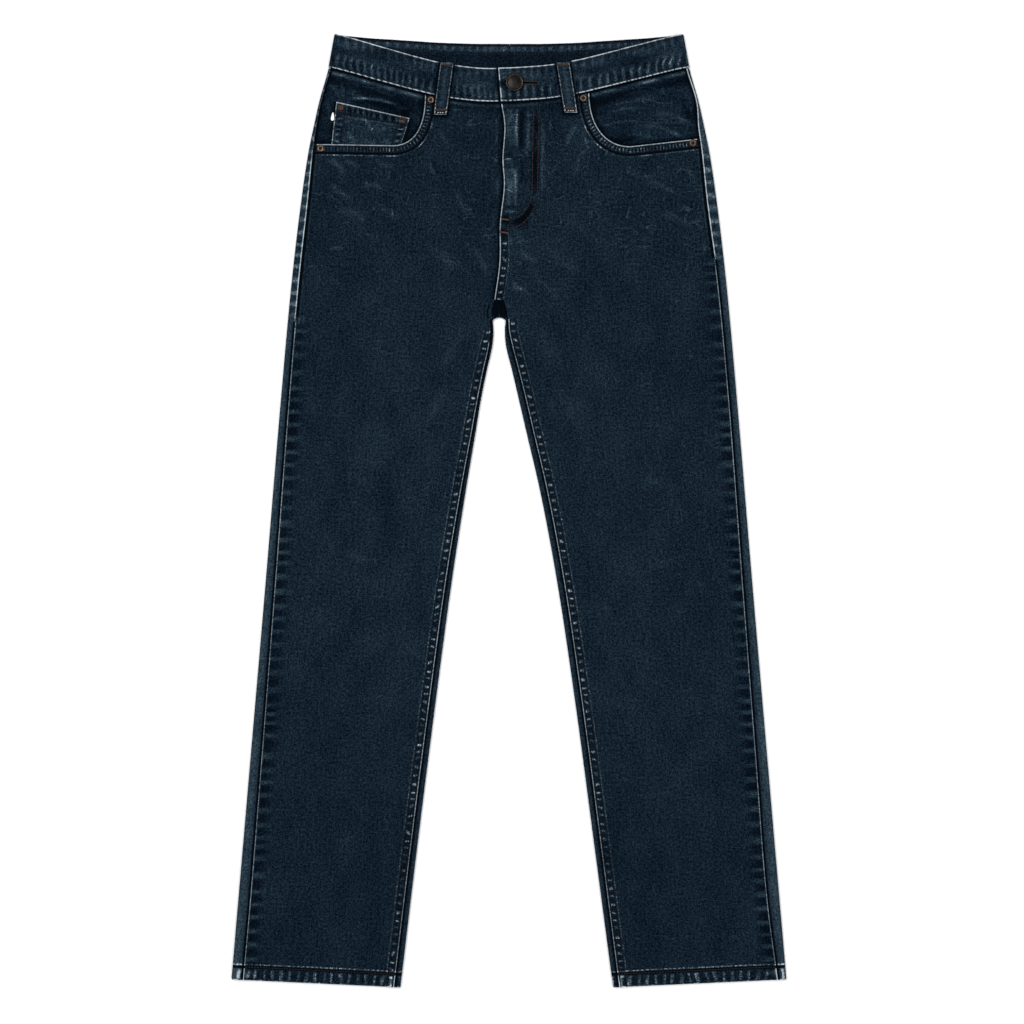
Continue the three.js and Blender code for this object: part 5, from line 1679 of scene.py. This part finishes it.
def sew(name, ends, pieces, look, radius, below=False, sunk=0.35, level=False):
    """Thread along each pair of ends, on the pieces under it, or level where an end is past an edge."""
    graph = bpy.context.evaluated_depsgraph_get()
    trees = [BVHTree.FromObject(bpy.data.objects[piece], graph) for piece in pieces]
    kept, heights = [], []
    for row in ends:
        pair = [ground(trees, row[0], row[1], below), ground(trees, row[2], row[3], below)]
        if level:
            pair = [max(h for h in pair if h is not None)] * 2
        if None not in pair and abs(pair[0] - pair[1]) < STEEPEST:
            kept.append(row)
            heights.append(pair)
    ends, heights = np.array(kept), np.array(heights)
    up = -1 if below else 1
    a = np.column_stack([ends[:, :2], heights[:, 0]])
    b = np.column_stack([ends[:, 2:], heights[:, 1]])
    along = unit(b - a)
    sideways = unit(points_of(-along[:, 1], along[:, 0], 0))
    upward = np.cross(along, sideways) * up
    turn = np.arange(STRANDS) * 2 * np.pi / STRANDS
    across_thread = np.cos(turn)[:, None] * sideways[:, None] + np.sin(turn)[:, None] * upward[:, None]
    rings = []
    for share, size, rise in STITCH_SHAPE:
        centre = a + (b - a) * share
        centre[:, 2] += up * radius * (1 - sunk + rise * 0.6)
        rings.append(centre[:, None] + radius * size * across_thread)
    points = np.stack(rings, 1).reshape(-1, 3)
    k, count = np.arange(STRANDS), len(STITCH_SHAPE)
    one = [k[::-1].tolist(), (STRANDS * (count - 1) + k).tolist()]
    for ring in STRANDS * np.arange(count - 1):
        after = ring + STRANDS
        one += [[ring + i, ring + j, after + j, after + i] for i, j in zip(k, np.roll(k, -1))]
    faces = [[int(i) + STRANDS * count * s for i in face] for s in range(len(ends)) for face in one]
    mesh = bpy.data.meshes.new(name)
    mesh.from_pydata((points * MM).tolist(), [], faces)
    build = bmesh.new()
    build.from_mesh(mesh)
    bmesh.ops.recalc_face_normals(build, faces=build.faces)
    build.to_mesh(mesh)
    build.free()
    mesh.materials.append(LOOKS[look])
    assign(place_mesh(name, mesh))


def beside_inseam(side, away):
    """A line on a front, a given distance from its inner edge, from the crotch to the hem."""
    y, slant = leg_heights()
    edge, inward, reach = leg_stations(side, y, slant)[1]
    return (edge + inward * (reach + GAP + away)[:, None])[1:]


def hem_row(side, up, inset=None):
    """A row across a hem, from seam to seam, or from a given distance inside each fold."""
    stations = leg_stations(side, np.array([HEM_Y + up]), np.array([HEM_SLANT]))
    start, end = (edge + inward * (inset or reach[0] + GAP) for edge, inward, reach in stations)
    return mix(start, end, spaced(0, 1, 30)[:, None])


def waist_row(edge, offset, start, end):
    """A row along an edge of the waist, from one x to another."""
    x = np.linspace(start, end, 80)
    return points_of(x, across(edge, x) + offset)


def smooth_line(points, count=80):
    """A smooth curve through a few points."""
    rows = table("k x y", *((k, *point) for k, point in enumerate(points)))
    t = np.linspace(0, len(points) - 1, count)
    return np.stack([column(rows, key, by="k")(t) for key in ("x", "y")], -1)


def keyhole(eye_r, half, end, eye_count, tip_count):
    """Round the eye of the buttonhole and out along its slit."""
    open_angle = math.asin(half / eye_r)
    eye = np.linspace(open_angle, 2 * math.pi - open_angle, eye_count)
    tip = np.linspace(-math.pi / 2, math.pi / 2, tip_count)
    x = join([BUTTON_X + eye_r * np.cos(eye), end + half * np.cos(tip)])
    y = join([eye_r * np.sin(eye), half * np.sin(tip)]) + BUTTON_Y
    return x, y


def on_loop(side, share):
    """A place down the middle of a front belt loop."""
    top_x, top_y, low_x, low_y = FRONT_LOOPS[side.name]
    return mix(top_x, low_x, share), mix(top_y, low_y, share)


def tack(x0, y0, x1, y1, width):
    """Ends of the stitches of a bartack."""
    return satin(np.array([(x0, y0), (x1, y1)]), width, TACK_PITCH)


FLY_ROWS = (
    # the inner row of the fly's stitching, and the outer one
    (
        (28.4, 459), (27.2, 425), (26.5, 380), (25.8, 357),
        (22.8, 346.5), (16.5, 337), (8, 330.5), (0, 327.5),
    ),
    (
        (34.6, 459), (33.4, 425), (32.6, 380), (31.8, 354),
        (28.3, 341), (20.5, 329.5), (10.5, 321.5), (-8, 316),
    ),
)
BARTACKS = {
    # x and y of both ends, and the width
    "tack_thread": (
        (-8.4, 329.6, -0.4, 328.6, 1.9),
        (-10.4, 315.2, -1.2, 313.8, 2.0),
        (-190.2, 455.2, -187.0, 455.4, 5.0),
        (-123.8, 440.2, -117.4, 439.0, 3.2),
    ),
    "brown_tack": ((-192.6, 455.0, -187.0, 455.6, 6.0), (-122.0, 444.0, -115.6, 442.4, 2.2)),
}
FRONTS = ("leg_front_right", "leg_front_left")
BACKS = ("leg_back_right", "leg_back_left", "yoke_panel_right", "yoke_panel_left")
BANDS = ("waistband_half_right", "waistband_half_left")
FRONT_LOOP_PIECES = ("loop_front_right", "loop_front_left")
BACK_LOOP_PIECES = tuple("loop_" + place for place in BACK_LOOPS)


# ---- Add-on ----


class JeansSewing(bpy.types.PropertyGroup):
    """Sizes of the stitches."""

    pitch: bpy.props.FloatProperty(
        name="Stitch pitch", description="From one stitch to the next", default=0.0033, unit="LENGTH"
    )
    length: bpy.props.FloatProperty(
        name="Stitch length", description="Length of a stitch that shows", default=0.0027, unit="LENGTH"
    )
    thread: bpy.props.FloatProperty(
        name="Thread radius", description="Half the thickness of the thread", default=0.0003, unit="LENGTH"
    )


class JeansColors(bpy.types.PropertyGroup):
    """How faded the denim is, and a colour for each plain finish."""

    __annotations__ = {
        "fade": bpy.props.FloatProperty(
            name="Fade", description="Paler denim above 0, darker below", default=0.0, subtype="FACTOR"
        )
    } | {
        key: bpy.props.FloatVectorProperty(
            name=name.capitalize(),
            description="Colour of the " + name,
            default=tone(*color),
            subtype="COLOR",
        )
        for key, (name, color, *_) in FINISHES.items()
    }


def sew_rows(name, lines, pieces, below=False, look="thread", bold=1):
    """Rows of stitches at the pitch, length and thickness that the panel sets."""
    sewing = bpy.context.scene.jeans_sewing
    pitch, length, thread = (size / MM for size in (sewing.pitch, sewing.length, sewing.thread))
    ends = join([cut_stitches(line, pitch, length) for line in lines])
    sew(name, ends, pieces, look, thread * bold, below=below)


# The camera looks straight down; its lens and sensor in millimetres, and its reach in metres
CAMERA_LENS = (85, 36, 50)
CAMERA_X, CAMERA_Y, CAMERA_HEIGHT = 3.5, -1.1, 2.733
FLOOR_SIZE, FLOOR_Z = 14, -0.0006
WORLD_LIGHT = 0.46
LAMPS = (
    # name, place, size in metres, watts
    ("key light", (-1.1, 0.8, 3.0), 1.4, 66),
    ("fill light", (1.2, -0.6, 3.0), 1.6, 42),
)


class JEANS_OT_stage(bpy.types.Operator):
    """Camera, pale floor, soft light and the finishes"""

    bl_idname = "jeans.stage"
    bl_label = "Stage and finishes"

    def execute(self, context):
        scene = context.scene
        scene.view_settings.view_transform = "Standard"
        camera = bpy.data.objects.new("camera", bpy.data.cameras.new("camera"))
        camera.data.lens, camera.data.sensor_width, camera.data.clip_end = CAMERA_LENS
        camera.location = (CAMERA_X * MM, CAMERA_Y * MM, CAMERA_HEIGHT)
        scene.collection.objects.link(camera)
        scene.camera = camera
        make_finishes(scene.jeans_colors)
        bpy.ops.mesh.primitive_plane_add(size=FLOOR_SIZE, location=(0, 0, FLOOR_Z))
        floor = context.object
        floor.name = "floor"
        floor.data.materials.append(LOOKS["floor"])
        for name, place, size, power in LAMPS:
            lamp = bpy.data.objects.new(name, bpy.data.lights.new(name, "AREA"))
            lamp.data.shape, lamp.data.size, lamp.data.energy = "SQUARE", size, power
            lamp.location = place
            lamp.rotation_euler = (-Vector(place)).to_track_quat("-Z", "Y").to_euler()
            scene.collection.objects.link(lamp)
        world = bpy.data.worlds.new("soft room")
        world.use_nodes = True
        world.node_tree.nodes["Background"].inputs["Color"].default_value = (1, 1, 1, 1)
        world.node_tree.nodes["Background"].inputs["Strength"].default_value = WORLD_LIGHT
        scene.world = world
        return {"FINISHED"}


class JEANS_OT_backs(bpy.types.Operator):
    """Both leg backs, with the strips that come round to the front"""

    bl_idname = "jeans.backs"
    bl_label = "Leg backs"

    def execute(self, context):
        for side in (RIGHT, LEFT):
            outer, inner, keep, *runs = back_points(side)
            values = back_fields(side, *split(outer), *runs)
            outer[..., 2] += values.pop("relief")
            name, solid = "leg_back_" + side.name, "back_" + side.name
            add_sheet(name, outer, inner, values, "denim", solid, keep)
        return {"FINISHED"}


class JEANS_OT_yokes(bpy.types.Operator):
    """The yoke halves under the waistband at the back"""

    bl_idname = "jeans.yokes"
    bl_label = "Yokes"

    def execute(self, context):
        for side in (RIGHT, LEFT):
            outer, inner, run = yoke_points(side)
            values = back_fields(side, *split(outer), run, run)
            outer[..., 2] += values.pop("relief")
            name, solid = "yoke_panel_" + side.name, "yoke_" + side.name
            add_sheet(name, outer, inner, values, "denim", solid)
        return {"FINISHED"}


class JEANS_OT_fronts(bpy.types.Operator):
    """Both leg fronts, the left one with the strip that closes the fly"""

    bl_idname = "jeans.fronts"
    bl_label = "Leg fronts"

    def execute(self, context):
        for side in (RIGHT, LEFT):
            rows, keep, thick = front_points(side)
            x, y = split(rows)
            values = front_fields(side, x, y)
            layers = laid(rows, front_heights(side, x, y, thick), thick)
            outer, inner = raised(*layers, values.pop("relief"))
            name, solid = "leg_front_" + side.name, "front_" + side.name
            add_sheet(name, outer, inner, values, "denim", solid, keep)
        return {"FINISHED"}


class JEANS_OT_waistband(bpy.types.Operator):
    """Both halves of the waistband and the keyhole in the left one"""

    bl_idname = "jeans.waistband"
    bl_label = "Waistband"

    def execute(self, context):
        for side in (RIGHT, LEFT):
            outer, inner = band_points(side)
            values, inner_values = (band_fields(side, *split(grid)) for grid in (outer, inner))
            outer, inner = raised(outer, inner, values.pop("relief"))
            name, solid = "waistband_half_" + side.name, "waistband_" + side.name
            piece = sheet_mesh(name, outer, inner, values, None, inner_values)
            if side is LEFT:
                cut_keyhole(context, piece)
            finish_sheet(piece, "denim_dark", solid)
        return {"FINISHED"}


def cut_keyhole(context, band):
    """A round eye for the button's shank, and a slit away from the band's end."""
    half = SLIT_WIDTH / 2
    x, y = keyhole(HOLE_R, half, SLIT_END - half, 40, 10)
    count = len(x)
    points = [(px * MM, py * MM, z * MM) for z in HOLE_CUT for px, py in zip(x, y)]
    faces = [list(range(count))[::-1], [count + k for k in range(count)]]
    faces += [[k, (k + 1) % count, (k + 1) % count + count, k + count] for k in range(count)]
    mesh = bpy.data.meshes.new("keyhole")
    mesh.from_pydata(points, [], faces)
    cutter = bpy.data.objects.new("keyhole", mesh)
    context.scene.collection.objects.link(cutter)
    bpy.ops.object.select_all(action="DESELECT")
    context.view_layer.objects.active = band
    band.select_set(True)
    cut = band.modifiers.new("keyhole", "BOOLEAN")
    cut.operation, cut.object, cut.solver = "DIFFERENCE", cutter, "EXACT"
    bpy.ops.object.modifier_apply(modifier=cut.name)
    bpy.data.objects.remove(cutter)
    places = np.empty(len(band.data.vertices) * 3)
    band.data.vertices.foreach_get("co", places)
    places = places.reshape(-1, 3) / MM
    values = band_fields(LEFT, *places.T)
    values.pop("relief")
    write_values(band.data, values, places)


class JEANS_OT_pockets(bpy.types.Operator):
    """The facings behind the pocket mouths, the coin pocket and the back pockets"""

    bl_idname = "jeans.pockets"
    bl_label = "Pockets"

    def execute(self, context):
        for side in (RIGHT, LEFT):
            rows = facing_points(side)
            x, y = split(rows)
            values = facing_fields(side, x, y)
            outer, inner = raised(*laid(rows, facing_low(side, x, y), CLOTH), values.pop("relief"))
            name, solid = "facing_" + side.name, "pocket_facing_" + side.name
            add_sheet(name, outer, inner, values, "denim", solid)
            rows, edge, down = pocket_points(side)
            values = pocket_fields(*split(rows), edge, down)
            top, bottom = laid(rows, np.zeros_like(edge), POCKET["thick"])
            bottom[..., 2] += values.pop("relief")
            name, solid = "seat_pocket_" + side.name, "back_pocket_" + side.name
            add_sheet(name, bottom, top, values, "denim", solid)
        rows, thick, (u, v) = coin_points()
        x, y = split(rows)
        values = coin_fields(x, y, u, v)
        outer, inner = raised(*laid(rows, coin_low(x, y), thick), values.pop("relief"))
        add_sheet("coin_pocket_panel", outer, inner, values, "denim", "coin_pocket")
        make_tab()
        return {"FINISHED"}


def make_tab():
    """A plain folded tape caught in the coin pocket's side seam, fuller and rounder at its lower end."""
    u, v = spaced(-0.5, 0.5, 8), spaced(-0.5, 0.5, 20)
    share = v + 0.5
    round_end = np.sqrt(1 - np.clip((share - 0.8) / 0.205, 0, 1) ** 2)
    half = TAB["width"] / 2 * mix(0.45, 1, ease(share / 0.6)) * round_end
    x = TAB["x"] - 0.6 * share[:, None] + 0.6 + 2 * u * half[:, None] * 0.9
    rows = points_of(x, TAB["y"] - v[:, None] * TAB["length"])
    outer, inner = laid(rows, coin_low(*split(rows)), 0.9 - 0.35 * (abs(u) / 0.5) ** 4)
    outer[..., 2] += 0.08 * np.sin(v * 9)[:, None]
    piece = sheet_mesh("white_tab", outer, inner, {"wear": 0 * x})
    piece.data.materials.append(LOOKS["tab"])
    assign(piece, "coin_pocket_tab")


class JEANS_OT_belt_loops(bpy.types.Operator):
    """Five belt loops"""

    bl_idname = "jeans.belt_loops"
    bl_label = "Belt loops"

    def execute(self, context):
        for side in (RIGHT, LEFT):
            self.add("front_" + side.name, *front_loop_points(side))
        for place, x in BACK_LOOPS.items():
            self.add(place, *back_loop_points(x))
        return {"FINISHED"}

    def add(self, place, outer, inner):
        x, y = outer[..., 0], outer[..., 1]
        edge = np.minimum(x - x[:, :1], x[:, -1:] - x)
        ends = np.minimum(y[:1] - y, y - y[-1:])
        values = loop_fields(x, y, np.minimum(edge, ends))
        values.pop("relief")
        length = float(y[0, 0] - y[-1, 0])
        add_sheet("loop_" + place, outer, inner, values, "denim_dark", "belt_loop_" + place)


class JEANS_OT_fly_zip(bpy.types.Operator):
    """The zip's tape behind the closed fly"""

    bl_idname = "jeans.fly_zip"
    bl_label = "Fly zip"

    def execute(self, context):
        y, u = spaced(ZIP_TOP, ZIP_BOTTOM, 90)[:, None], spaced(0, 1, 18)
        x = fly_x(y) + ZIP_LEFT + u * ZIP_WIDTH
        rows = points_of(x, y)
        tooth = 0.25 * np.clip(np.sin(y * 2 * np.pi / 4), 0, 1) * bump((u - 0.5) / 0.12)
        outer, inner = laid(rows, front_low(LEFT, *split(rows)), CLOTH - 0.3 + tooth)
        plain = {"wear": 0 * x}
        add_sheet("zip_tape", outer, inner, plain, "zip_tape", "fly_zip", look="tape")
        return {"FINISHED"}


def turned(name, profile, x, y, sides, bevel):
    """A piece drawn upward from its foot through a profile of radius and height, then rounded."""
    bpy.ops.object.select_all(action="DESELECT")
    radius, height = profile[0]
    bpy.ops.mesh.primitive_circle_add(
        vertices=sides, radius=radius * MM, fill_type="NGON", location=(0, 0, height * MM)
    )
    piece = bpy.context.object
    piece.name = piece.data.name = name
    bpy.ops.object.transform_apply(location=True, rotation=True, scale=True)
    bpy.ops.object.mode_set(mode="EDIT")
    bpy.ops.mesh.select_all(action="SELECT")
    for (r0, z0), (r1, z1) in zip(profile, profile[1:]):
        bpy.ops.mesh.extrude_region_move(TRANSFORM_OT_translate={"value": (0, 0, (z1 - z0) * MM)})
        bpy.ops.transform.resize(value=(r1 / r0, r1 / r0, 1), center_override=(0, 0, 0))
    bpy.ops.mesh.select_all(action="SELECT")
    bpy.ops.mesh.normals_make_consistent(inside=False)
    bpy.ops.transform.translate(value=(x * MM, y * MM, 0))
    bpy.ops.object.mode_set(mode="OBJECT")
    edge = piece.modifiers.new("edges", "BEVEL")
    edge.width, edge.segments = bevel * MM, 2
    edge.limit_method, edge.angle_limit = "ANGLE", math.radians(24)
    bpy.ops.object.modifier_apply(modifier=edge.name)
    bpy.ops.object.shade_smooth_by_angle(angle=math.radians(40))
    return piece


def add_middle(piece, x, y, radius, looks):
    """Two finishes: one for the rim, and one for the middle of the top."""
    for look in looks:
        piece.data.materials.append(LOOKS[look])
    for face in piece.data.polygons:
        at = face.center / MM
        if math.hypot(at.x - x, at.y - y) < radius and face.normal.z > 0:
            face.material_index = 1


class JEANS_OT_button(bpy.types.Operator):
    """The waist button: a dished cap on a shank"""

    bl_idname = "jeans.button"
    bl_label = "Waist button"

    def execute(self, context):
        low, high = (corner.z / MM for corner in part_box("fly_button"))
        seat = high - BUTTON_HEIGHT
        profile = (
            (3.6, low),
            (3.6, seat),
            (9.0, seat + 0.02),
            (BUTTON_R, seat + 0.9),
            (BUTTON_R, high - 0.9),
            (BUTTON_R - 0.5, high - 0.15),
            (BUTTON_R - 1.0, high),
            (BUTTON_R - 1.6, high - 0.12),
            (BUTTON_R - 2.0, high - 0.85),
            (BUTTON_R - 2.6, high - 1.0),
            (6.4, high - 0.8),
            (4.4, high - 0.5),
            (2.2, high - 0.36),
            (0.4, high - 0.32),
        )
        piece = turned("waist_button", profile, BUTTON_X, BUTTON_Y, 64, 0.16)
        add_middle(piece, BUTTON_X, BUTTON_Y, BUTTON_R - 1.8, ("brass", "cap"))
        assign(piece, "fly_button")
        return {"FINISHED"}


class JEANS_OT_rivets(bpy.types.Operator):
    """Four rivets at the ends of the pocket mouths"""

    bl_idname = "jeans.rivets"
    bl_label = "Rivets"

    def execute(self, context):
        for name in ("right_side", "right_front", "left_side", "left_front"):
            low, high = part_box("rivet_" + name)
            x, y = (low.x + high.x) / 2 / MM, (low.y + high.y) / 2 / MM
            foot, top = low.z / MM, high.z / MM
            profile = (
                (RIVET_R - 0.3, foot),
                (RIVET_R, foot + 0.15),
                (RIVET_R, foot + 0.6),
                (RIVET_R - 0.5, foot + 1.15),
                (RIVET_R - 1.3, top),
                (RIVET_R - 2.0, top - 0.1),
                (1.5, top - 0.8),
                (1.1, top - 0.85),
                (0.9, top - 0.4),
                (0.3, top - 0.25),
            )
            piece = turned("rivet_cap_" + name, profile, x, y, 40, 0.12)
            add_middle(piece, x, y, 1.75, ("copper", "dark"))
            assign(piece, "rivet_" + name)
        return {"FINISHED"}


class JEANS_OT_stitching(bpy.types.Operator):
    """Rows of stitches along the seams, on both sides"""

    bl_idname = "jeans.stitching"
    bl_label = "Stitching"

    def execute(self, context):
        both = (RIGHT, LEFT)
        inseams = [beside_inseam(side, away) for side in both for away in FELL_ROWS]
        sew_rows("stitches_inseams", inseams, FRONTS)
        sew_rows("stitches_hems_front", [hem_row(side, HEM_ROW) for side in both], FRONTS, bold=BOLD)
        mouths = [offset_mouth(side, down) for side in both for down in MOUTH_ROWS]
        sew_rows("stitches_pocket_mouths", mouths, FRONTS)
        fly = [smooth_line(row) for row in FLY_ROWS]
        sew_rows("stitches_fly", fly, FRONTS, look="rust_thread", bold=BOLD)
        y = np.linspace(*RISE_ENDS, 40)
        sew_rows("stitches_rise", [points_of(fly_x(y) + away, y) for away in RISE_ROWS], FRONTS)
        top = [
            waist_row(FRONT_TOP, WAIST_ROW, -194, -14),
            waist_row(FRONT_TOP, WAIST_ROW, CENTRE_FRONT + 3, 194),
            waist_row(FRONT_SEAM, SEAM_ROW, -201, -14),
            waist_row(FRONT_SEAM, SEAM_ROW, CENTRE_FRONT + 4, 201),
            points_of(band_end(np.array([0.1, 0.9])) + 2.2, [495, 466]),
        ]
        sew_rows("stitches_waistband", top, BANDS)
        inside = [waist_row(BACK_TOP, WAIST_ROW, -185, 185), waist_row(BACK_TOP, -11.5, -150, 150)]
        sew_rows("stitches_waistband_inside", inside, BANDS)
        below = [waist_row(BACK_TOP, WAIST_ROW, -190, 190), waist_row(BACK_SEAM, SEAM_ROW, -196, 196)]
        sew_rows("stitches_waistband_back", below, BANDS, below=True)
        x, y = np.linspace(-206, 206, 120), np.linspace(416, 228, 90)
        seams = [points_of(x, yoke_seam(x) + away) for away in BACK_ROWS]
        seams += [points_of(centre_back(y) + away, y) for away in BACK_ROWS]
        seams += [hem_row(side, HEM_ROW_UNDER, inset=3) for side in both]
        sew_rows("stitches_back_seams", seams, BACKS, below=True)
        self.coin_pocket()
        self.seat_pockets()
        self.loops()
        return {"FINISHED"}

    def coin_pocket(self):
        (a, b), (c, d) = (np.array(COIN[key]) for key in ("top", "low"))
        rows = []
        for down in COIN_HEM_ROWS:
            shift = np.array([0, -down])
            rows.append(mix(a + shift, b + shift, spaced(0.03, 0.97, 20)[:, None]))
        for top, low, sign in ((a, c, 1), (b, d, -1)):
            for away in COIN_SIDE_ROWS:
                shift = np.array([sign * away, -3])
                rows.append(mix(top + shift, low + shift, spaced(0.02, 0.75, 20)[:, None]))
        sew_rows("stitches_coin_pocket", rows, ["coin_pocket_panel"])

    def seat_pockets(self):
        half, tip, taper, height = POCKET["width"] / 2, POCKET["tip"], POCKET["taper"], POCKET["height"]
        rows = []
        for side in (RIGHT, LEFT):
            turn = side.sign * POCKET["tilt"]
            spin = np.array([[math.cos(turn), math.sin(turn)], [-math.sin(turn), math.cos(turn)]])
            centre = np.array([side.sign * POCKET["x"], POCKET["top"]])
            for away in SEAT_POCKET_ROWS:
                low = tip - height
                corners = [
                    (away - half, -2),
                    (taper - half + away, low + away * 0.6),
                    (0, -height + away * 1.1),
                    (half - taper - away, low + away * 0.6),
                    (half - away, -2),
                ]
                rows.append(at_run(np.array(corners) @ spin + centre, np.arange(0, 405, 2.0)))
            for down in SEAT_POCKET_HEM_ROWS:
                rows.append(np.array([(3 - half, -down), (half - 3, -down)]) @ spin + centre)
        sew_rows("stitches_seat_pockets", rows, ["seat_pocket_right", "seat_pocket_left"], below=True)

    def loops(self):
        gauge = (-LOOP_GAUGE, LOOP_GAUGE)
        fronts = [
            np.array([(top_x + away, top_y - 5), (low_x + away, low_y + 6)])
            for top_x, top_y, low_x, low_y in FRONT_LOOPS.values()
            for away in gauge
        ]
        sew_rows("stitches_loops_front", fronts, FRONT_LOOP_PIECES)
        backs = [
            np.array([(x + away, across(BACK_TOP, x) - 5), (x + away, across(BACK_SEAM, x) - 8)])
            for x in BACK_LOOPS.values()
            for away in gauge
        ]
        sew_rows("stitches_loops_back", backs, BACK_LOOP_PIECES, below=True)


class JEANS_OT_bartacks(bpy.types.Operator):
    """Bartacks and the sewn edge of the buttonhole"""

    bl_idname = "jeans.bartacks"
    bl_label = "Bartacks and buttonhole"

    def execute(self, context):
        fronts = (*FRONTS, "coin_pocket_panel")
        for look, rows in BARTACKS.items():
            ends = join([tack(*row) for row in rows])
            sew("bartacks_front_" + look, ends, fronts, look, TACK_RADIUS, sunk=0.1)
        ends, pale = [], []
        for side in (RIGHT, LEFT):
            for share, half in ((0.045, 6), (0.905, 5.6)):
                x, y = on_loop(side, share)
                ends.append(tack(x - half, y, x + half, y, 2.4))
            # loose ends of pale thread at the corners, and the row that closes the turned end
            for share, reach in ((0.02, 6.4), (0.875, 6.3), (0.955, 6.2)):
                x, y = on_loop(side, share)
                pale.append([(x + k * reach - 0.4, y - 0.5, x + k * reach + 0.5, y + 0.8) for k in (-1, 1)])
            x, y = on_loop(side, 0.962)
            pale.append([(x + k - 0.7, y, x + k + 0.9, y) for k in (-2.6, 0, 2.6)])
        ends, pale = join(ends), join(pale)
        sew("bartacks_loops_front", ends, FRONT_LOOP_PIECES, "brown_tack", TACK_RADIUS, sunk=0.1)
        sew("loop_ends_front", pale, FRONT_LOOP_PIECES, "pale_thread", 0.42, sunk=0.1)
        ends = [
            tack(x - 6, y, x + 6, y, 2.2)
            for x in BACK_LOOPS.values()
            for y in (across(BACK_TOP, x) - 3, across(BACK_SEAM, x) - 10)
        ]
        backs = join(ends)
        sew("bartacks_loops_back", backs, BACK_LOOP_PIECES, "thread", TACK_RADIUS, below=True, sunk=0.6)
        half = SLIT_WIDTH / 2
        x, y = keyhole(HOLE_R + 0.6, half + 0.35, SLIT_END - half, 50, 12)
        line = points_of(np.append(x, x[0]), np.append(y, y[0]))
        edge = satin(line, 1.7, 0.6)
        sew("buttonhole_stitches", edge, BANDS[1:], "hole_thread", 0.26, sunk=0.2, level=True)
        return {"FINISHED"}


STEPS = (
    JEANS_OT_stage,
    JEANS_OT_backs,
    JEANS_OT_yokes,
    JEANS_OT_fronts,
    JEANS_OT_waistband,
    JEANS_OT_pockets,
    JEANS_OT_belt_loops,
    JEANS_OT_fly_zip,
    JEANS_OT_button,
    JEANS_OT_rivets,
    JEANS_OT_stitching,
    JEANS_OT_bartacks,
)


class JEANS_PT_panel(bpy.types.Panel):
    bl_label = "Jeans"
    bl_idname = "JEANS_PT_panel"
    bl_space_type = "VIEW_3D"
    bl_region_type = "UI"
    bl_category = "Jeans"

    def draw(self, context):
        for group in (context.scene.jeans_sewing, context.scene.jeans_colors):
            for key in type(group).__annotations__:
                self.layout.prop(group, key)
        for step in STEPS:
            self.layout.operator(step.bl_idname)


CLASSES = (JeansSewing, JeansColors, *STEPS, JEANS_PT_panel)


def register():
    for cls in CLASSES:
        bpy.utils.register_class(cls)
    bpy.types.Scene.jeans_sewing = bpy.props.PointerProperty(type=JeansSewing)
    bpy.types.Scene.jeans_colors = bpy.props.PointerProperty(type=JeansColors)


def unregister():
    del bpy.types.Scene.jeans_sewing, bpy.types.Scene.jeans_colors
    for cls in reversed(CLASSES):
        bpy.utils.unregister_class(cls)


def main():
    """Registers the add-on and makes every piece."""
    register()
    for step in STEPS:
        getattr(bpy.ops.jeans, step.bl_idname.removeprefix("jeans."))()


if __name__ == "__main__":
    main()
